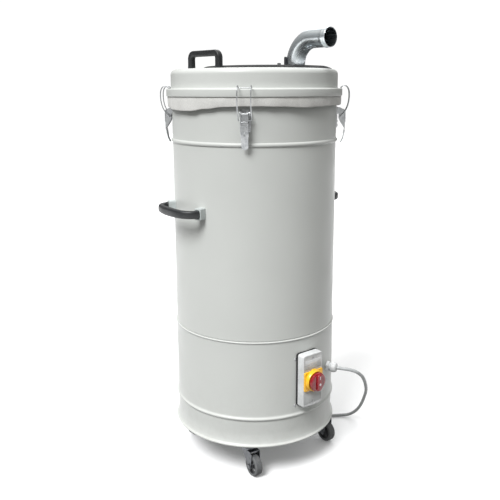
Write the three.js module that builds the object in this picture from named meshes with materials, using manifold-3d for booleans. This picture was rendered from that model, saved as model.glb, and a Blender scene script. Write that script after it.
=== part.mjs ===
// Drum dust collector on castors: lid with inlet bend, textile filter bag, drum, motor housing below.
// Millimetres, +Z up. The origin is on the drum's axis at floor level and the front latch faces -Y.
import * as THREE from "three";
import Module from "manifold-3d";

const wasm = await Module();
wasm.setup();

// ---------- driving dimensions ----------
const DRUM_R = 230; // outside radius of the drum's sheet
const SHEET = 2;
const ROUND = 44; // facets round the drum

const CASTOR_H = 93; // floor to the top face of the castor's plate
const WHEEL_R = 30;
const WHEEL_W = 21;
const CASTOR_TRAIL = 28;
const CASTOR_AXIS_R = [188, 200, 188, 200]; // drum axis to each swivel axis
const CASTOR_DEG = [0, 96, 180, 276];
const CASTOR_TRAIL_DEG = [38, 44, 33, 150]; // where each wheel trails at rest, from the front

const FOOT_RIM_Z = 98; // rolled rim at the drum's foot
const LOW_RIB_Z = 176;
const SPLIT_Z = 398; // top edge of the motor housing
const TOP_RIB_Z = 920;
const DRUM_TOP_Z = 1049;

const BAND_R = 245; // the lid's skirt, outside
const BAND_BOTTOM_Z = 1040;
const BAND_TOP_Z = 1060;
const LID_R = 232;
const LID_TOP_Z = 1112;
const LID_EDGE = 15; // radius of the lid's top edge

const PIPE_R = 25;
const PIPE_WALL = 1.5;
const PIPE_AT = [118.5, -90.3];
const PIPE_BEND = 66;
const PIPE_RISE = 8;
const PIPE_REACH = 54;
const PIPE_DEG = 48; // compass angle of the mouth, from the front towards +X

// The latches and the castors stand at the four quarters of the drum.
const QUARTER_DEG = [0, 90, 180, 270];
const QUARTER_NAME = ["front", "right", "back", "left"];
const LEVER_PIN = [243, 999.7]; // [radius, height]
const BAIL_PIN = [240.5, 983];
const WIRE_R = 1.5;
const BAIL_HALF = 17;

const LID_HANDLE_DEG = -43;
const LID_HANDLE_AT = 172;
const LID_HANDLE_SPAN = 117;
const LID_HANDLE_H = 46;

const SIDE_HANDLE_DEG = [-50, 135];
const SIDE_HANDLE_Z = 739;
const SIDE_FOOT_DEG = 19; // each foot, either side of the handle's middle
const SIDE_GRIP_R = 274;

const SWITCH_DEG = 43.5;
const SWITCH_Z = 280;
const SWITCH_FACE = 257; // drum axis to the front of the switch box

const GLAND_DEG = 69;
const GLAND_Z = 277;
const CORD_R = 4.75;
const COIL_AT = [0, 336];
const COIL_R = 57; // middle of the coil's turns, three side by side and four high
const TURNS_WIDE = 3;
const TURNS_HIGH = 4;

const FAN_TOP_Z = 386;
const FAN_BOTTOM_Z = 322;
const FAN_R = 150;

// ---------- materials ----------
const material = (color, roughness, metalness) =>
  new THREE.MeshStandardMaterial({ color, roughness, metalness });
const GREY_COAT = material(0xc9cac8, 0.42, 0.0);
const ZINC = material(0xb4bac0, 0.35, 0.9);
const BLACK_PLASTIC = material(0x17181a, 0.5, 0.0);
const BLACK_RUBBER = material(0x1c1c1d, 0.8, 0.0);
const FELT = material(0xe6e6e2, 0.95, 0.0);
const WHITE_PLASTIC = material(0xe3e4e4, 0.4, 0.0);
const YELLOW_PLASTIC = material(0xf2bf1c, 0.38, 0.0);
const RED_PLASTIC = material(0xb5101f, 0.25, 0.0);
const CORD_GREY = material(0x9fa1a2, 0.55, 0.0);
const TYRE_GREY = material(0x5b5e60, 0.75, 0.0);
const MOTOR_BLUE = material(0x3d5266, 0.5, 0.2);
const BARE_ALUMINIUM = material(0xa9acad, 0.45, 0.8);

// ---------- solids ----------
const radians = (deg) => (deg * Math.PI) / 180;

// A geometry as a solid, turned the right way out.
function solid(geometry) {
  const bare = geometry.index ? geometry.toNonIndexed() : geometry.clone();
  const position = bare.getAttribute("position");
  const seen = new Map();
  const points = [];
  const corners = [];
  for (let i = 0; i < position.count; i++) {
    const p = [position.getX(i), position.getY(i), position.getZ(i)];
    const key = p.map((v) => Math.round(v * 1e4)).join();
    if (!seen.has(key)) {
      seen.set(key, seen.size);
      points.push(...p);
    }
    corners.push(seen.get(key));
  }
  const faces = [];
  for (let i = 0; i < corners.length; i += 3) {
    const [a, b, c] = corners.slice(i, i + 3);
    if (a !== b && b !== c && a !== c) faces.push(a, b, c);
  }
  const build = (triVerts) =>
    new wasm.Manifold(new wasm.Mesh({
      numProp: 3,
      vertProperties: new Float32Array(points),
      triVerts: new Uint32Array(triVerts),
    }));
  const made = build(faces);
  if (made.volume() >= 0) return made;
  const turned = [];
  for (let i = 0; i < faces.length; i += 3) {
    turned.push(faces[i], faces[i + 2], faces[i + 1]);
  }
  return build(turned);
}

function geometryOf(made) {
  const mesh = made.getMesh();
  const geometry = new THREE.BufferGeometry();
  geometry.setAttribute("position", new THREE.BufferAttribute(new Float32Array(mesh.vertProperties), 3));
  geometry.setIndex(new THREE.BufferAttribute(new Uint32Array(mesh.triVerts), 1));
  geometry.computeVertexNormals();
  return geometry;
}

const union = (...made) => made.reduce((a, b) => a.add(b));
const minus = (base, ...cuts) => cuts.reduce((a, b) => a.subtract(b), base);

// A profile of [radius, height] pairs turned about the Z axis.
function turned(profile, facets = ROUND) {
  const points = profile.map(([r, z]) => new THREE.Vector2(r, z));
  return solid(new THREE.LatheGeometry(points, facets).rotateX(Math.PI / 2));
}

// The same, for a ring whose profile closes on itself.
const ringOf = (profile, facets = ROUND) => turned([...profile, profile[0]], facets);

function disc(radius, z0, z1, facets = 24, x = 0, y = 0) {
  const geometry = new THREE.CylinderGeometry(radius, radius, z1 - z0, facets).rotateX(Math.PI / 2);
  return solid(geometry.translate(x, y, (z0 + z1) / 2));
}

function block(x0, x1, y0, y1, z0, z1) {
  const geometry = new THREE.BoxGeometry(x1 - x0, y1 - y0, z1 - z0);
  return solid(geometry.translate((x0 + x1) / 2, (y0 + y1) / 2, (z0 + z1) / 2));
}

// A rod of radius r along X, from x0 to x1, at the height and depth given.
function crossRod(r, x0, x1, y, z, facets = 12) {
  const geometry = new THREE.CylinderGeometry(r, r, x1 - x0, facets).rotateZ(Math.PI / 2);
  return solid(geometry.translate((x0 + x1) / 2, y, z));
}

// A rod of radius r along Y, standing out towards -Y from distance d0 to distance d1.
function outwardRod(r, d0, d1, x, z, facets = 20) {
  const geometry = new THREE.CylinderGeometry(r, r, d1 - d0, facets);
  return solid(geometry.translate(x, -(d0 + d1) / 2, z));
}

// A plate whose outline is given as [distance out, height], of the thickness from x0 to x1.
function sidePlate(outline, x0, x1) {
  const shape = new THREE.Shape(outline.map(([d, z]) => new THREE.Vector2(d, z)));
  const geometry = new THREE.ExtrudeGeometry(shape, { depth: x1 - x0, bevelEnabled: false });
  const out = new THREE.Vector3(0, -1, 0);
  const up = new THREE.Vector3(0, 0, 1);
  const frame = new THREE.Matrix4().makeBasis(out, up, out.clone().cross(up));
  return solid(geometry.applyMatrix4(frame).translate(x1, 0, 0));
}

// A rounded rectangle seen from the front, standing out from distance d0 to distance d1.
function panel(width, height, corner, d0, d1, x, z, bevel = 0) {
  const w = width / 2 - bevel;
  const h = height / 2 - bevel;
  const shape = new THREE.Shape();
  shape.moveTo(-w + corner, -h);
  shape.lineTo(w - corner, -h);
  shape.quadraticCurveTo(w, -h, w, -h + corner);
  shape.lineTo(w, h - corner);
  shape.quadraticCurveTo(w, h, w - corner, h);
  shape.lineTo(-w + corner, h);
  shape.quadraticCurveTo(-w, h, -w, h - corner);
  shape.lineTo(-w, -h + corner);
  shape.quadraticCurveTo(-w, -h, -w + corner, -h);
  const geometry = new THREE.ExtrudeGeometry(shape, {
    depth: d1 - d0 - bevel,
    bevelEnabled: bevel > 0,
    bevelThickness: bevel,
    bevelSize: bevel,
    bevelSegments: 1,
    curveSegments: 3,
  });
  const made = solid(geometry.rotateX(Math.PI / 2).translate(x, -d0, z));
  const behind = block(x - width, x + width, -d0, -d0 + 10, z - height, z + height);
  return bevel > 0 ? made.subtract(behind) : made;
}

// A bar of the given outline swept along a curve.
function swept(outline, curve, steps) {
  const shape = new THREE.Shape(outline.map(([a, b]) => new THREE.Vector2(a, b)));
  return solid(new THREE.ExtrudeGeometry(shape, { steps, extrudePath: curve }));
}

const circle = (r, sides) =>
  Array.from({ length: sides }, (_, i) => {
    const a = (2 * Math.PI * i) / sides;
    return [r * Math.cos(a), r * Math.sin(a)];
  });

// Points on an arc about [r, z], for a lathe profile.
function arc(r, z, radius, from, to, steps) {
  return Array.from({ length: steps + 1 }, (_, i) => {
    const a = radians(from + ((to - from) * i) / steps);
    return [r + radius * Math.cos(a), z + radius * Math.sin(a)];
  });
}

const curveThrough = (points) =>
  new THREE.CatmullRomCurve3(points.map((p) => new THREE.Vector3(...p)), false, "centripetal");

function node(parent, name, made, finish) {
  const mesh = new THREE.Mesh(geometryOf(made), finish.clone());
  mesh.name = name;
  parent.add(mesh);
  return mesh;
}

// A group turned so that its -Y faces the given compass angle.
function facing(parent, deg) {
  const group = new THREE.Group();
  group.rotation.z = radians(deg);
  parent.add(group);
  return group;
}

const part = new THREE.Group();
part.name = "dust_collector";

// ---------- motor housing and base ----------
const HOUSING_R = DRUM_R + 0.6;
const housingProfile = [
  [HOUSING_R - SHEET, FOOT_RIM_Z - 2],
  ...arc(233.2, FOOT_RIM_Z, 3.6, -120, 60, 3),
  [230.4, 112],
  [229.2, 136],
  [HOUSING_R, 164],
  [HOUSING_R, LOW_RIB_Z - 6],
  ...arc(HOUSING_R - 0.6, LOW_RIB_Z, 4.4, -60, 60, 2),
  [HOUSING_R, LOW_RIB_Z + 6],
  [HOUSING_R, SPLIT_Z - 7],
  ...arc(HOUSING_R - 0.4, SPLIT_Z - 2.6, 2.6, -70, 90, 3),
  [HOUSING_R - SHEET, SPLIT_Z],
];
let housing = ringOf(housingProfile);
const glandHole = outwardRod(8.4, 215, 245, 0, GLAND_Z, 16).rotate([0, 0, GLAND_DEG]);
const switchHole = outwardRod(10, 215, 245, 0, SWITCH_Z, 16).rotate([0, 0, SWITCH_DEG]);
housing = minus(housing, glandHole, switchHole);
node(part, "motor_housing", housing, GREY_COAT);

const basePlate = turned([
  [0, CASTOR_H + 0.4],
  [228.2, CASTOR_H + 0.4],
  [228.2, 124],
  [225.8, 124],
  [225.8, CASTOR_H + 3.4],
  [0, CASTOR_H + 3.4],
]);
const slots = [];
for (let row = -2; row <= 2; row++) {
  for (const side of [-1, 1]) {
    slots.push(block(side * 48 - 36, side * 48 + 36, row * 26 - 5, row * 26 + 5, 80, 110));
  }
}
node(part, "base_plate", minus(basePlate, ...slots), GREY_COAT);

// ---------- fan and motor ----------
const separation = ringOf([
  [62, 392],
  [225.4, 392],
  [225.4, 378],
  [227.4, 378],
  [227.4, 414],
  [225.4, 414],
  [225.4, 394.5],
  [62, 394.5],
]);
node(part, "separation_plate", separation, ZINC);

let grid = turned([[0, 403], [68, 403], [70, 394.8], [74, 394.8], [70, 405], [0, 405]], 32);
const gridHoles = [];
for (const [radius, count, size] of [[50, 10, 11], [24, 5, 10]]) {
  for (let i = 0; i < count; i++) {
    const a = (2 * Math.PI * i) / count;
    gridHoles.push(disc(size, 400, 408, 8, radius * Math.cos(a), radius * Math.sin(a)));
  }
}
grid = minus(grid, ...gridHoles);
node(part, "inlet_grid", grid, ZINC);

let fanHousing = ringOf([
  [11, FAN_BOTTOM_Z],
  [FAN_R, FAN_BOTTOM_Z],
  [FAN_R, FAN_TOP_Z],
  [66, FAN_TOP_Z],
  [66, FAN_TOP_Z - 2],
  [FAN_R - 2, FAN_TOP_Z - 2],
  [FAN_R - 2, FAN_BOTTOM_Z + 2],
  [11, FAN_BOTTOM_Z + 2],
], 36);
const fanOutlet = block(60, 130, -170, -60, FAN_BOTTOM_Z + 8, FAN_TOP_Z - 10);
fanHousing = minus(fanHousing, fanOutlet);
node(part, "fan_housing", fanHousing, BARE_ALUMINIUM);

// Curved blades between a back plate and a front ring, on a hub that carries the motor's shaft end.
const blades = [];
for (let i = 0; i < 8; i++) {
  const blade = curveThrough([[48, -4, 0], [74, 2, 0], [100, 14, 0], [122, 34, 0]]);
  const shape = new THREE.Shape();
  const spine = blade.getPoints(4);
  const front = spine.map((p) => new THREE.Vector2(p.x, p.y));
  const back = spine.map((p) => new THREE.Vector2(p.x - 0.7, p.y + 2.2)).reverse();
  shape.setFromPoints([...front, ...back]);
  const geometry = new THREE.ExtrudeGeometry(shape, { depth: 32, bevelEnabled: false });
  blades.push(solid(geometry.translate(0, 0, 337)).rotate([0, 0, i * 45]));
}
const backPlate = turned([[0, 335], [128, 335], [128, 338], [24, 338], [20, 356], [0, 356]], 32);
const frontRing = ringOf([[128, 367], [128, 369.5], [60, 374], [58, 371.5]], 32);
const shaftEnd = disc(9, 300, 340, 20);
node(part, "impeller", union(backPlate, frontRing, shaftEnd, ...blades), BARE_ALUMINIUM);

// The motor hangs under the fan housing, with its shaft's bore open at the top.
const motorBody = ringOf([
  [10, 270],
  [10, 321.6],
  [92, 321.6],
  [92, 314],
  [78, 312],
  [78, 196],
  [70, 190],
  [70, 158],
  [64, 154],
  [0, 154],
  [0, 270],
], 32);
const fins = [];
for (let i = 0; i < 15; i++) {
  fins.push(block(74, 86, -1.2, 1.2, 200, 308).rotate([0, 0, i * 20 + 130]));
}
const terminalBox = block(-32, 32, 72, 112, 232, 292);
node(part, "motor", union(motorBody, terminalBox, ...fins), MOTOR_BLUE);

// Three rubber mounts hang the fan housing from the separation plate.
for (let i = 0; i < 3; i++) {
  const a = radians(i * 120 + 90);
  const mountX = 120 * Math.cos(a);
  const mountY = 120 * Math.sin(a);
  node(part, "fan_mount_" + (i + 1), disc(14, FAN_TOP_Z + 0.3, 391.7, 20, mountX, mountY), BLACK_RUBBER);
}

// ---------- drum and filter bag ----------
const drum = ringOf([
  [DRUM_R - SHEET, SPLIT_Z + 0.8],
  [DRUM_R, SPLIT_Z + 0.8],
  [DRUM_R, TOP_RIB_Z - 6],
  ...arc(DRUM_R - 0.9, TOP_RIB_Z, 4, -58, 58, 2),
  [DRUM_R, TOP_RIB_Z + 6],
  [DRUM_R, DRUM_TOP_Z - 7],
  ...arc(DRUM_R + 0.2, DRUM_TOP_Z - 3.4, 3.4, -60, 90, 3),
  [DRUM_R - SHEET, DRUM_TOP_Z],
]);
node(part, "drum", drum, GREY_COAT);

// The bag's cuff is folded over the drum's top edge and hangs outside, under the lid's skirt.
const filterBag = turned([
  [0, 500],
  [203, 506],
  [206, 990],
  [225.8, 1045],
  [228, 1049.9],
  [235.4, 1049.6],
  [238.4, 1015],
  [241.6, 1015],
  [240.4, 1048],
  [236, 1053],
  [226, 1053],
  [202.8, 992],
  [199.8, 509.2],
  [0, 503.2],
]);
node(part, "filter_bag", filterBag, FELT);

// ---------- lid ----------
const pipeHole = disc(PIPE_R + 0.4, LID_TOP_Z - 20, LID_TOP_Z + 20, 28, ...PIPE_AT);
let lid = turned([
  [0, LID_TOP_Z - SHEET],
  ...arc(LID_R - LID_EDGE, LID_TOP_Z - LID_EDGE, LID_EDGE - SHEET, 90, 0, 2),
  [LID_R - SHEET, BAND_TOP_Z - SHEET],
  [BAND_R - SHEET, BAND_TOP_Z - SHEET],
  [BAND_R - SHEET, BAND_BOTTOM_Z],
  [BAND_R, BAND_BOTTOM_Z],
  [BAND_R, BAND_TOP_Z - 2],
  [BAND_R - 2, BAND_TOP_Z],
  [LID_R + 2, BAND_TOP_Z],
  [LID_R, BAND_TOP_Z + 2.5],
  ...arc(LID_R - LID_EDGE, LID_TOP_Z - LID_EDGE, LID_EDGE, 0, 90, 4),
  [0, LID_TOP_Z],
]);
lid = minus(lid, pipeHole);
node(part, "lid", lid, GREY_COAT);

const gasket = ringOf([[LID_R - 1.4, 1053.4], [241.6, 1053.4], [241.6, 1057.7], [LID_R - 1.4, 1057.7]]);
node(part, "lid_gasket", gasket, BLACK_RUBBER);

const MAT_AT = [33.8, -3.3];
const MAT_TOP = LID_TOP_Z + 8;
let mat = turned([
  [0, LID_TOP_Z + 0.3],
  [180, LID_TOP_Z + 0.3],
  [181, LID_TOP_Z + 1.5],
  [168, MAT_TOP - 1],
  [158, MAT_TOP],
  [0, MAT_TOP],
], 40).translate([...MAT_AT, 0]);
const matHole = disc(PIPE_R + 13.5, LID_TOP_Z - 5, MAT_TOP + 5, 28, ...PIPE_AT);
mat = minus(mat, matHole);
node(part, "lid_mat", mat, BLACK_RUBBER);

// The inlet bend stands in a flange with four screw heads.
let flange = ringOf([
  [PIPE_R + 0.3, LID_TOP_Z + 0.3],
  [PIPE_R + 12, LID_TOP_Z + 0.3],
  [PIPE_R + 12, LID_TOP_Z + 2.3],
  [PIPE_R + 3.5, LID_TOP_Z + 3],
  [PIPE_R + 2.6, LID_TOP_Z + 8],
  [PIPE_R + 0.3, LID_TOP_Z + 8],
], 28);
for (let i = 0; i < 4; i++) {
  const a = radians(45 + 90 * i);
  flange = flange.add(disc(3.2, LID_TOP_Z + 2, LID_TOP_Z + 4.6, 6, 32.6 * Math.cos(a), 32.6 * Math.sin(a)));
}
node(part, "inlet_flange", flange.translate([...PIPE_AT, 0]), ZINC);

const bendGroup = facing(part, PIPE_DEG);
const bendBase = LID_TOP_Z - 12;
const bendStart = LID_TOP_Z + PIPE_RISE;
const bendPoints = [[0, 0, bendBase], [0, 0, bendBase + 12], [0, 0, bendStart]];
for (let i = 1; i <= 8; i++) {
  const a = radians(11.25 * i);
  bendPoints.push([0, -PIPE_BEND * (1 - Math.cos(a)), bendStart + PIPE_BEND * Math.sin(a)]);
}
bendPoints.push([0, -PIPE_BEND - PIPE_REACH / 2, bendStart + PIPE_BEND]);
bendPoints.push([0, -PIPE_BEND - PIPE_REACH, bendStart + PIPE_BEND]);
const upAxis = new THREE.Vector3(0, 0, 1);
const bendAt = new THREE.Vector3(...PIPE_AT, 0).applyAxisAngle(upAxis, -radians(PIPE_DEG));

// One ring of the bend's wall for each station of its centreline.
function bentTube(stations, outer, inner, sides) {
  const positions = [];
  const rings = [];
  stations.forEach(([, y, z], i) => {
    const before = stations[Math.max(i - 1, 0)];
    const after = stations[Math.min(i + 1, stations.length - 1)];
    const lean = Math.atan2(-(after[1] - before[1]), after[2] - before[2]);
    for (const radius of [outer, inner]) {
      const ring = [];
      for (let k = 0; k < sides; k++) {
        const a = (2 * Math.PI * k) / sides;
        const across = radius * Math.cos(a);
        const along = radius * Math.sin(a);
        ring.push(positions.length / 3);
        positions.push(across, y - along * Math.cos(lean), z - along * Math.sin(lean));
      }
      rings.push(ring);
    }
  });
  const faces = [];
  const join = (a, b) => {
    for (let k = 0; k < sides; k++) {
      const n = (k + 1) % sides;
      faces.push(a[k], a[n], b[n], a[k], b[n], b[k]);
    }
  };
  const last = rings.length - 2;
  for (let i = 0; i < last; i += 2) {
    join(rings[i], rings[i + 2]);
    join(rings[i + 3], rings[i + 1]);
  }
  join(rings[last], rings[last + 1]);
  join(rings[1], rings[0]);
  const geometry = new THREE.BufferGeometry();
  geometry.setAttribute("position", new THREE.Float32BufferAttribute(positions, 3));
  geometry.setIndex(faces);
  return solid(geometry);
}
const bend = bentTube(bendPoints, PIPE_R, PIPE_R - PIPE_WALL, 18);
node(bendGroup, "inlet_bend", bend.translate([bendAt.x, bendAt.y, 0]), ZINC);

// A curved black shield that stands on the flange's collar and hugs the bend from behind.
let shield = ringOf([
  [PIPE_R + 0.8, MAT_TOP + 0.3],
  [PIPE_R + 5.8, MAT_TOP + 0.3],
  [PIPE_R + 5.8, MAT_TOP + 22],
  [PIPE_R + 0.8, MAT_TOP + 22],
], 28);
shield = shield.intersect(block(-60, 60, 9, 60, MAT_TOP - 5, MAT_TOP + 40));
node(bendGroup, "bend_shield", shield.translate([bendAt.x, bendAt.y, 0]), BLACK_PLASTIC);

// The lid's bridge handle: two legs and a bar with rounded corners.
const handleGroup = facing(part, LID_HANDLE_DEG);
function bridgeOutline(half, height, corner) {
  return [
    [-half, 0],
    ...arc(-half + corner, height - corner, corner, 180, 90, 4),
    ...arc(half - corner, height - corner, corner, 90, 0, 4),
    [half, 0],
  ];
}
const bridgeShape = new THREE.Shape();
const bridgeOuter = bridgeOutline(LID_HANDLE_SPAN / 2 + 8, LID_HANDLE_H, 17);
const bridgeInner = bridgeOutline(LID_HANDLE_SPAN / 2 - 8, LID_HANDLE_H - 15, 7).reverse();
bridgeShape.setFromPoints([...bridgeOuter, ...bridgeInner].map(([u, v]) => new THREE.Vector2(u, v)));
const bridge = new THREE.ExtrudeGeometry(bridgeShape, {
  depth: 10,
  bevelEnabled: true,
  bevelThickness: 2.5,
  bevelSize: 2.5,
  bevelOffset: -2.5,
  bevelSegments: 1,
});
bridge.rotateX(Math.PI / 2).translate(0, -LID_HANDLE_AT + 5, LID_TOP_Z + 0.3 - 2.5);
const lidHandle = solid(bridge).intersect(block(-80, 80, -200, -150, LID_TOP_Z + 0.3, LID_TOP_Z + 80));
node(handleGroup, "lid_handle", lidHandle, BLACK_PLASTIC);

// ---------- latches ----------
const leverOuter = [[253, 1000.5], [253.6, 975], [253.4, 950], [252, 934], [248.6, 919], [242.6, 905.5]];
const bailSide = [
  [BAIL_PIN[0], BAIL_PIN[1]],
  [244, 986.5],
  [249.5, 992.5],
  [254.5, 1000],
  [260, 1012],
  [263.2, 1026],
  [264.2, 1040],
  [263.4, 1052],
  [260.4, 1061],
  [255, 1066.6],
  [249, 1067.4],
  [244.2, 1065],
  [241.5, 1062.3],
];
QUARTER_DEG.forEach((deg, i) => {
  const latch = facing(part, deg);
  const name = QUARTER_NAME[i];

  // Base plate with two ears, the lever's pin between them and two rivet heads.
  const plate = panel(27, 57, 3, 230.5, 232.4, 0, 981.5);
  const ear = [[232, 1009], [232, 991], [241, 991], [247.6, 995.4], [248.6, 1000], [246, 1005], [240, 1009]];
  const ears = [sidePlate(ear, 11.9, 13.5), sidePlate(ear, -13.5, -11.9)];
  const pin = crossRod(2, -15, 15, -LEVER_PIN[0], LEVER_PIN[1], 8);
  const rivets = [960, 969].map((z) => outwardRod(3, 232, 233.4, 0, z, 6));
  node(latch, "latch_plate_" + name, union(plate, ...ears, pin, ...rivets), ZINC);

  // Lever: a channel over the ears that runs out into a curved handle.
  const inner = leverOuter.map(([d, z]) => [d - 1.6, z]).reverse();
  const web = sidePlate([...leverOuter, ...inner], -10, 10);
  const flank = [[252.2, 1003], [240, 1004.5], [237, 1000], [236, 978], [241, 968], [252.6, 950]];
  const flanks = [sidePlate(flank, 8.4, 10), sidePlate(flank, -10, -8.4)];
  const holes = [
    crossRod(2.5, -20, 20, -LEVER_PIN[0], LEVER_PIN[1], 10),
    crossRod(2.1, -20, 20, -BAIL_PIN[0], BAIL_PIN[1], 10),
  ];
  node(latch, "latch_lever_" + name, minus(union(web, ...flanks), ...holes), ZINC);

  // Bail: one wire, both ends turned into the lever, bowed out and hooked over the lid's skirt.
  const right = bailSide.map(([d, z]) => [BAIL_HALF, -d, z]);
  const left = bailSide.map(([d, z]) => [-BAIL_HALF, -d, z]).reverse();
  const endRight = [[6, -BAIL_PIN[0], BAIL_PIN[1]], [14, -BAIL_PIN[0], BAIL_PIN[1]]];
  const endLeft = [[-14, -BAIL_PIN[0], BAIL_PIN[1]], [-6, -BAIL_PIN[0], BAIL_PIN[1]]];
  const wire = curveThrough([...endRight, ...right, [0, -241.2, 1062], ...left, ...endLeft]);
  node(latch, "latch_bail_" + name, swept(circle(WIRE_R, 6), wire, 32), ZINC);
});

// ---------- side handles ----------
["left", "right"].forEach((side, i) => {
  const mid = SIDE_HANDLE_DEG[i];
  for (const [end, sign] of [["a", -1], ["b", 1]]) {
    const foot = facing(part, mid + sign * SIDE_FOOT_DEG);
    const outline = panel(21, 30, 3, 226, 246, 0, SIDE_HANDLE_Z);
    const bore = disc(DRUM_R + 0.3, SIDE_HANDLE_Z - 30, SIDE_HANDLE_Z + 30, 256);
    node(foot, `side_handle_foot_${side}_${end}`, minus(outline, bore), GREY_COAT);
  }
  const grip = facing(part, mid);
  const at = (deg, r) => [r * Math.sin(radians(deg)), -r * Math.cos(radians(deg)), SIDE_HANDLE_Z];
  const half = [[SIDE_FOOT_DEG, 246.4], [SIDE_FOOT_DEG, 253], [18.2, 263], [15.8, 272], [12.4, 276.4]];
  const path = [
    ...half.map(([deg, r]) => at(-deg, r)),
    [-30, -SIDE_GRIP_R + 0.5, SIDE_HANDLE_Z],
    [30, -SIDE_GRIP_R + 0.5, SIDE_HANDLE_Z],
    ...[...half].reverse().map(([deg, r]) => at(deg, r)),
  ];
  const section = [[-12, -5], [-9, -8.5], [9, -8.5], [12, -5], [12, 5], [9, 8.5], [-9, 8.5], [-12, 5]];
  node(grip, "side_handle_grip_" + side, swept(section, curveThrough(path), 20), BLACK_PLASTIC);
});

// ---------- main switch ----------
const switchGroup = facing(part, SWITCH_DEG);
const switchGasket = minus(
  panel(73, 153, 6, 220, 234.6, 0, SWITCH_Z),
  disc(HOUSING_R + 0.3, SWITCH_Z - 90, SWITCH_Z + 90, 256),
);
node(switchGroup, "switch_gasket", switchGasket, BLACK_RUBBER);
let switchBox = panel(70, 150, 6, 234.9, SWITCH_FACE, 0, SWITCH_Z, 1.5);
const shaftBore = outwardRod(7, 240, 262, 0, SWITCH_Z);
const screwHeights = [SWITCH_Z - 67, SWITCH_Z + 67];
const coverScrews = screwHeights.map((z) => outwardRod(2.4, SWITCH_FACE - 1.5, SWITCH_FACE + 1, 0, z, 12));
switchBox = minus(switchBox, shaftBore, ...coverScrews);
node(switchGroup, "switch_box", switchBox, WHITE_PLASTIC);
const yellowPlate = minus(
  union(
    panel(66, 55, 5, SWITCH_FACE + 0.3, SWITCH_FACE + 4.5, 0, SWITCH_Z),
    outwardRod(30, SWITCH_FACE + 3, SWITCH_FACE + 8, 0, SWITCH_Z, 36),
  ),
  outwardRod(7, 240, 280, 0, SWITCH_Z),
);
node(switchGroup, "switch_plate", yellowPlate, YELLOW_PLASTIC);
const knobFace = SWITCH_FACE + 8.4;
const knobDisc = turned([
  [0, 0],
  [25, 0],
  [26, 2],
  [26, 7],
  [24, 9.5],
  [0, 9.5],
], 36).rotate([90, 0, 0]).translate([0, -knobFace, SWITCH_Z]);
const knobGrip = panel(15, 46, 4.5, knobFace + 9, knobFace + 20, 0, SWITCH_Z, 1.5);
const knobStem = outwardRod(6.2, 244, knobFace + 2, 0, SWITCH_Z);
node(switchGroup, "switch_knob", union(knobDisc, knobGrip, knobStem), RED_PLASTIC);

// ---------- cable gland and power cable ----------
const glandGroup = facing(part, GLAND_DEG);
const upright = (made, distance) => made.rotate([90, 0, 0]).translate([0, -distance, GLAND_Z]);
const glandBody = upright(
  minus(union(disc(7.8, -16, 1, 18), disc(15.4, 0, 8, 6), disc(11, 7, 14, 20)), disc(5.3, -20, 20, 16)),
  231.6,
);
node(glandGroup, "gland_body", glandBody, WHITE_PLASTIC);
const glandNut = upright(
  minus(
    turned([[0, 14.4], [14.6, 14.4], [14.6, 24], [12.6, 28], [9.6, 31], [0, 31]], 12),
    disc(5.3, 10, 40, 16),
  ),
  231.6,
);
node(glandGroup, "gland_nut", glandNut, WHITE_PLASTIC);

const polar = (deg, r, z) => [r * Math.sin(radians(deg)), -r * Math.cos(radians(deg)), z];
// The cable leaves the gland level, arcs down to the floor and runs in under the rim to the coil.
const cordRoute = [
  polar(GLAND_DEG, 222, GLAND_Z),
  polar(GLAND_DEG, 240, GLAND_Z),
  polar(GLAND_DEG, 264, GLAND_Z),
  [264, -102, 278],
  [285, -104, 276],
  [304, -96, 265],
  [320, -74, 242],
  [331, -36, 203],
  [336, 2, 166],
  [335, 34, 135],
  [333, 64, 106],
  [329, 88, 80],
  [323, 110, 56],
  [314, 130, 34],
  [301, 144, 17],
  [284, 151, 8],
  [264, 151, 5.6],
  [240, 147, 5.6],
  [214, 146, 5.6],
  [188, 153, 5.6],
  [152, 174, 5.6],
  [118, 204, 5.6],
  [89, 238, 5.6],
  [71, 270, 5.6],
  [66.5, 299.4, 5.6],
];
node(part, "power_cable", swept(circle(CORD_R, 8), curveThrough(cordRoute), 50), CORD_GREY);

// The spare length: one ring for its turns, and the short tail that runs down to the plug.
const coilHalf = TURNS_WIDE * CORD_R + 0.3;
const coilTop = 0.3 + 2 * TURNS_HIGH * CORD_R + 0.1;
const coilRing = ringOf([
  [COIL_R - coilHalf + 3, 0.3],
  [COIL_R + coilHalf - 3, 0.3],
  [COIL_R + coilHalf, 3.3],
  [COIL_R + coilHalf, coilTop - 3],
  [COIL_R + coilHalf - 3, coilTop],
  [COIL_R - coilHalf + 3, coilTop],
  [COIL_R - coilHalf, coilTop - 3],
  [COIL_R - coilHalf, 3.3],
], 28).translate([...COIL_AT, 0]);
const tailY = COIL_AT[1] + 66.5;
const tailRoute = [
  [-12, tailY - 1, 33.4],
  [-32, tailY, 33],
  [-46, tailY, 31],
  [-62, tailY, 26],
  [-76, tailY, 22.3],
  [-90, tailY, 21.4],
];
const coilTail = swept(circle(CORD_R, 8), curveThrough(tailRoute), 8);
node(part, "cable_coil", union(coilRing, coilTail), CORD_GREY);

let plug = turned([[0, 0], [9, 0], [11, 6], [19, 26], [21, 44], [21, 52], [0, 52]], 20);
plug = union(plug, disc(2.4, 50, 71, 10, 9.5, 0), disc(2.4, 50, 71, 10, -9.5, 0));
node(part, "power_plug", plug.rotate([0, -90, 0]).translate([-90.3, tailY, 21.4]), BLACK_PLASTIC);

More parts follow.
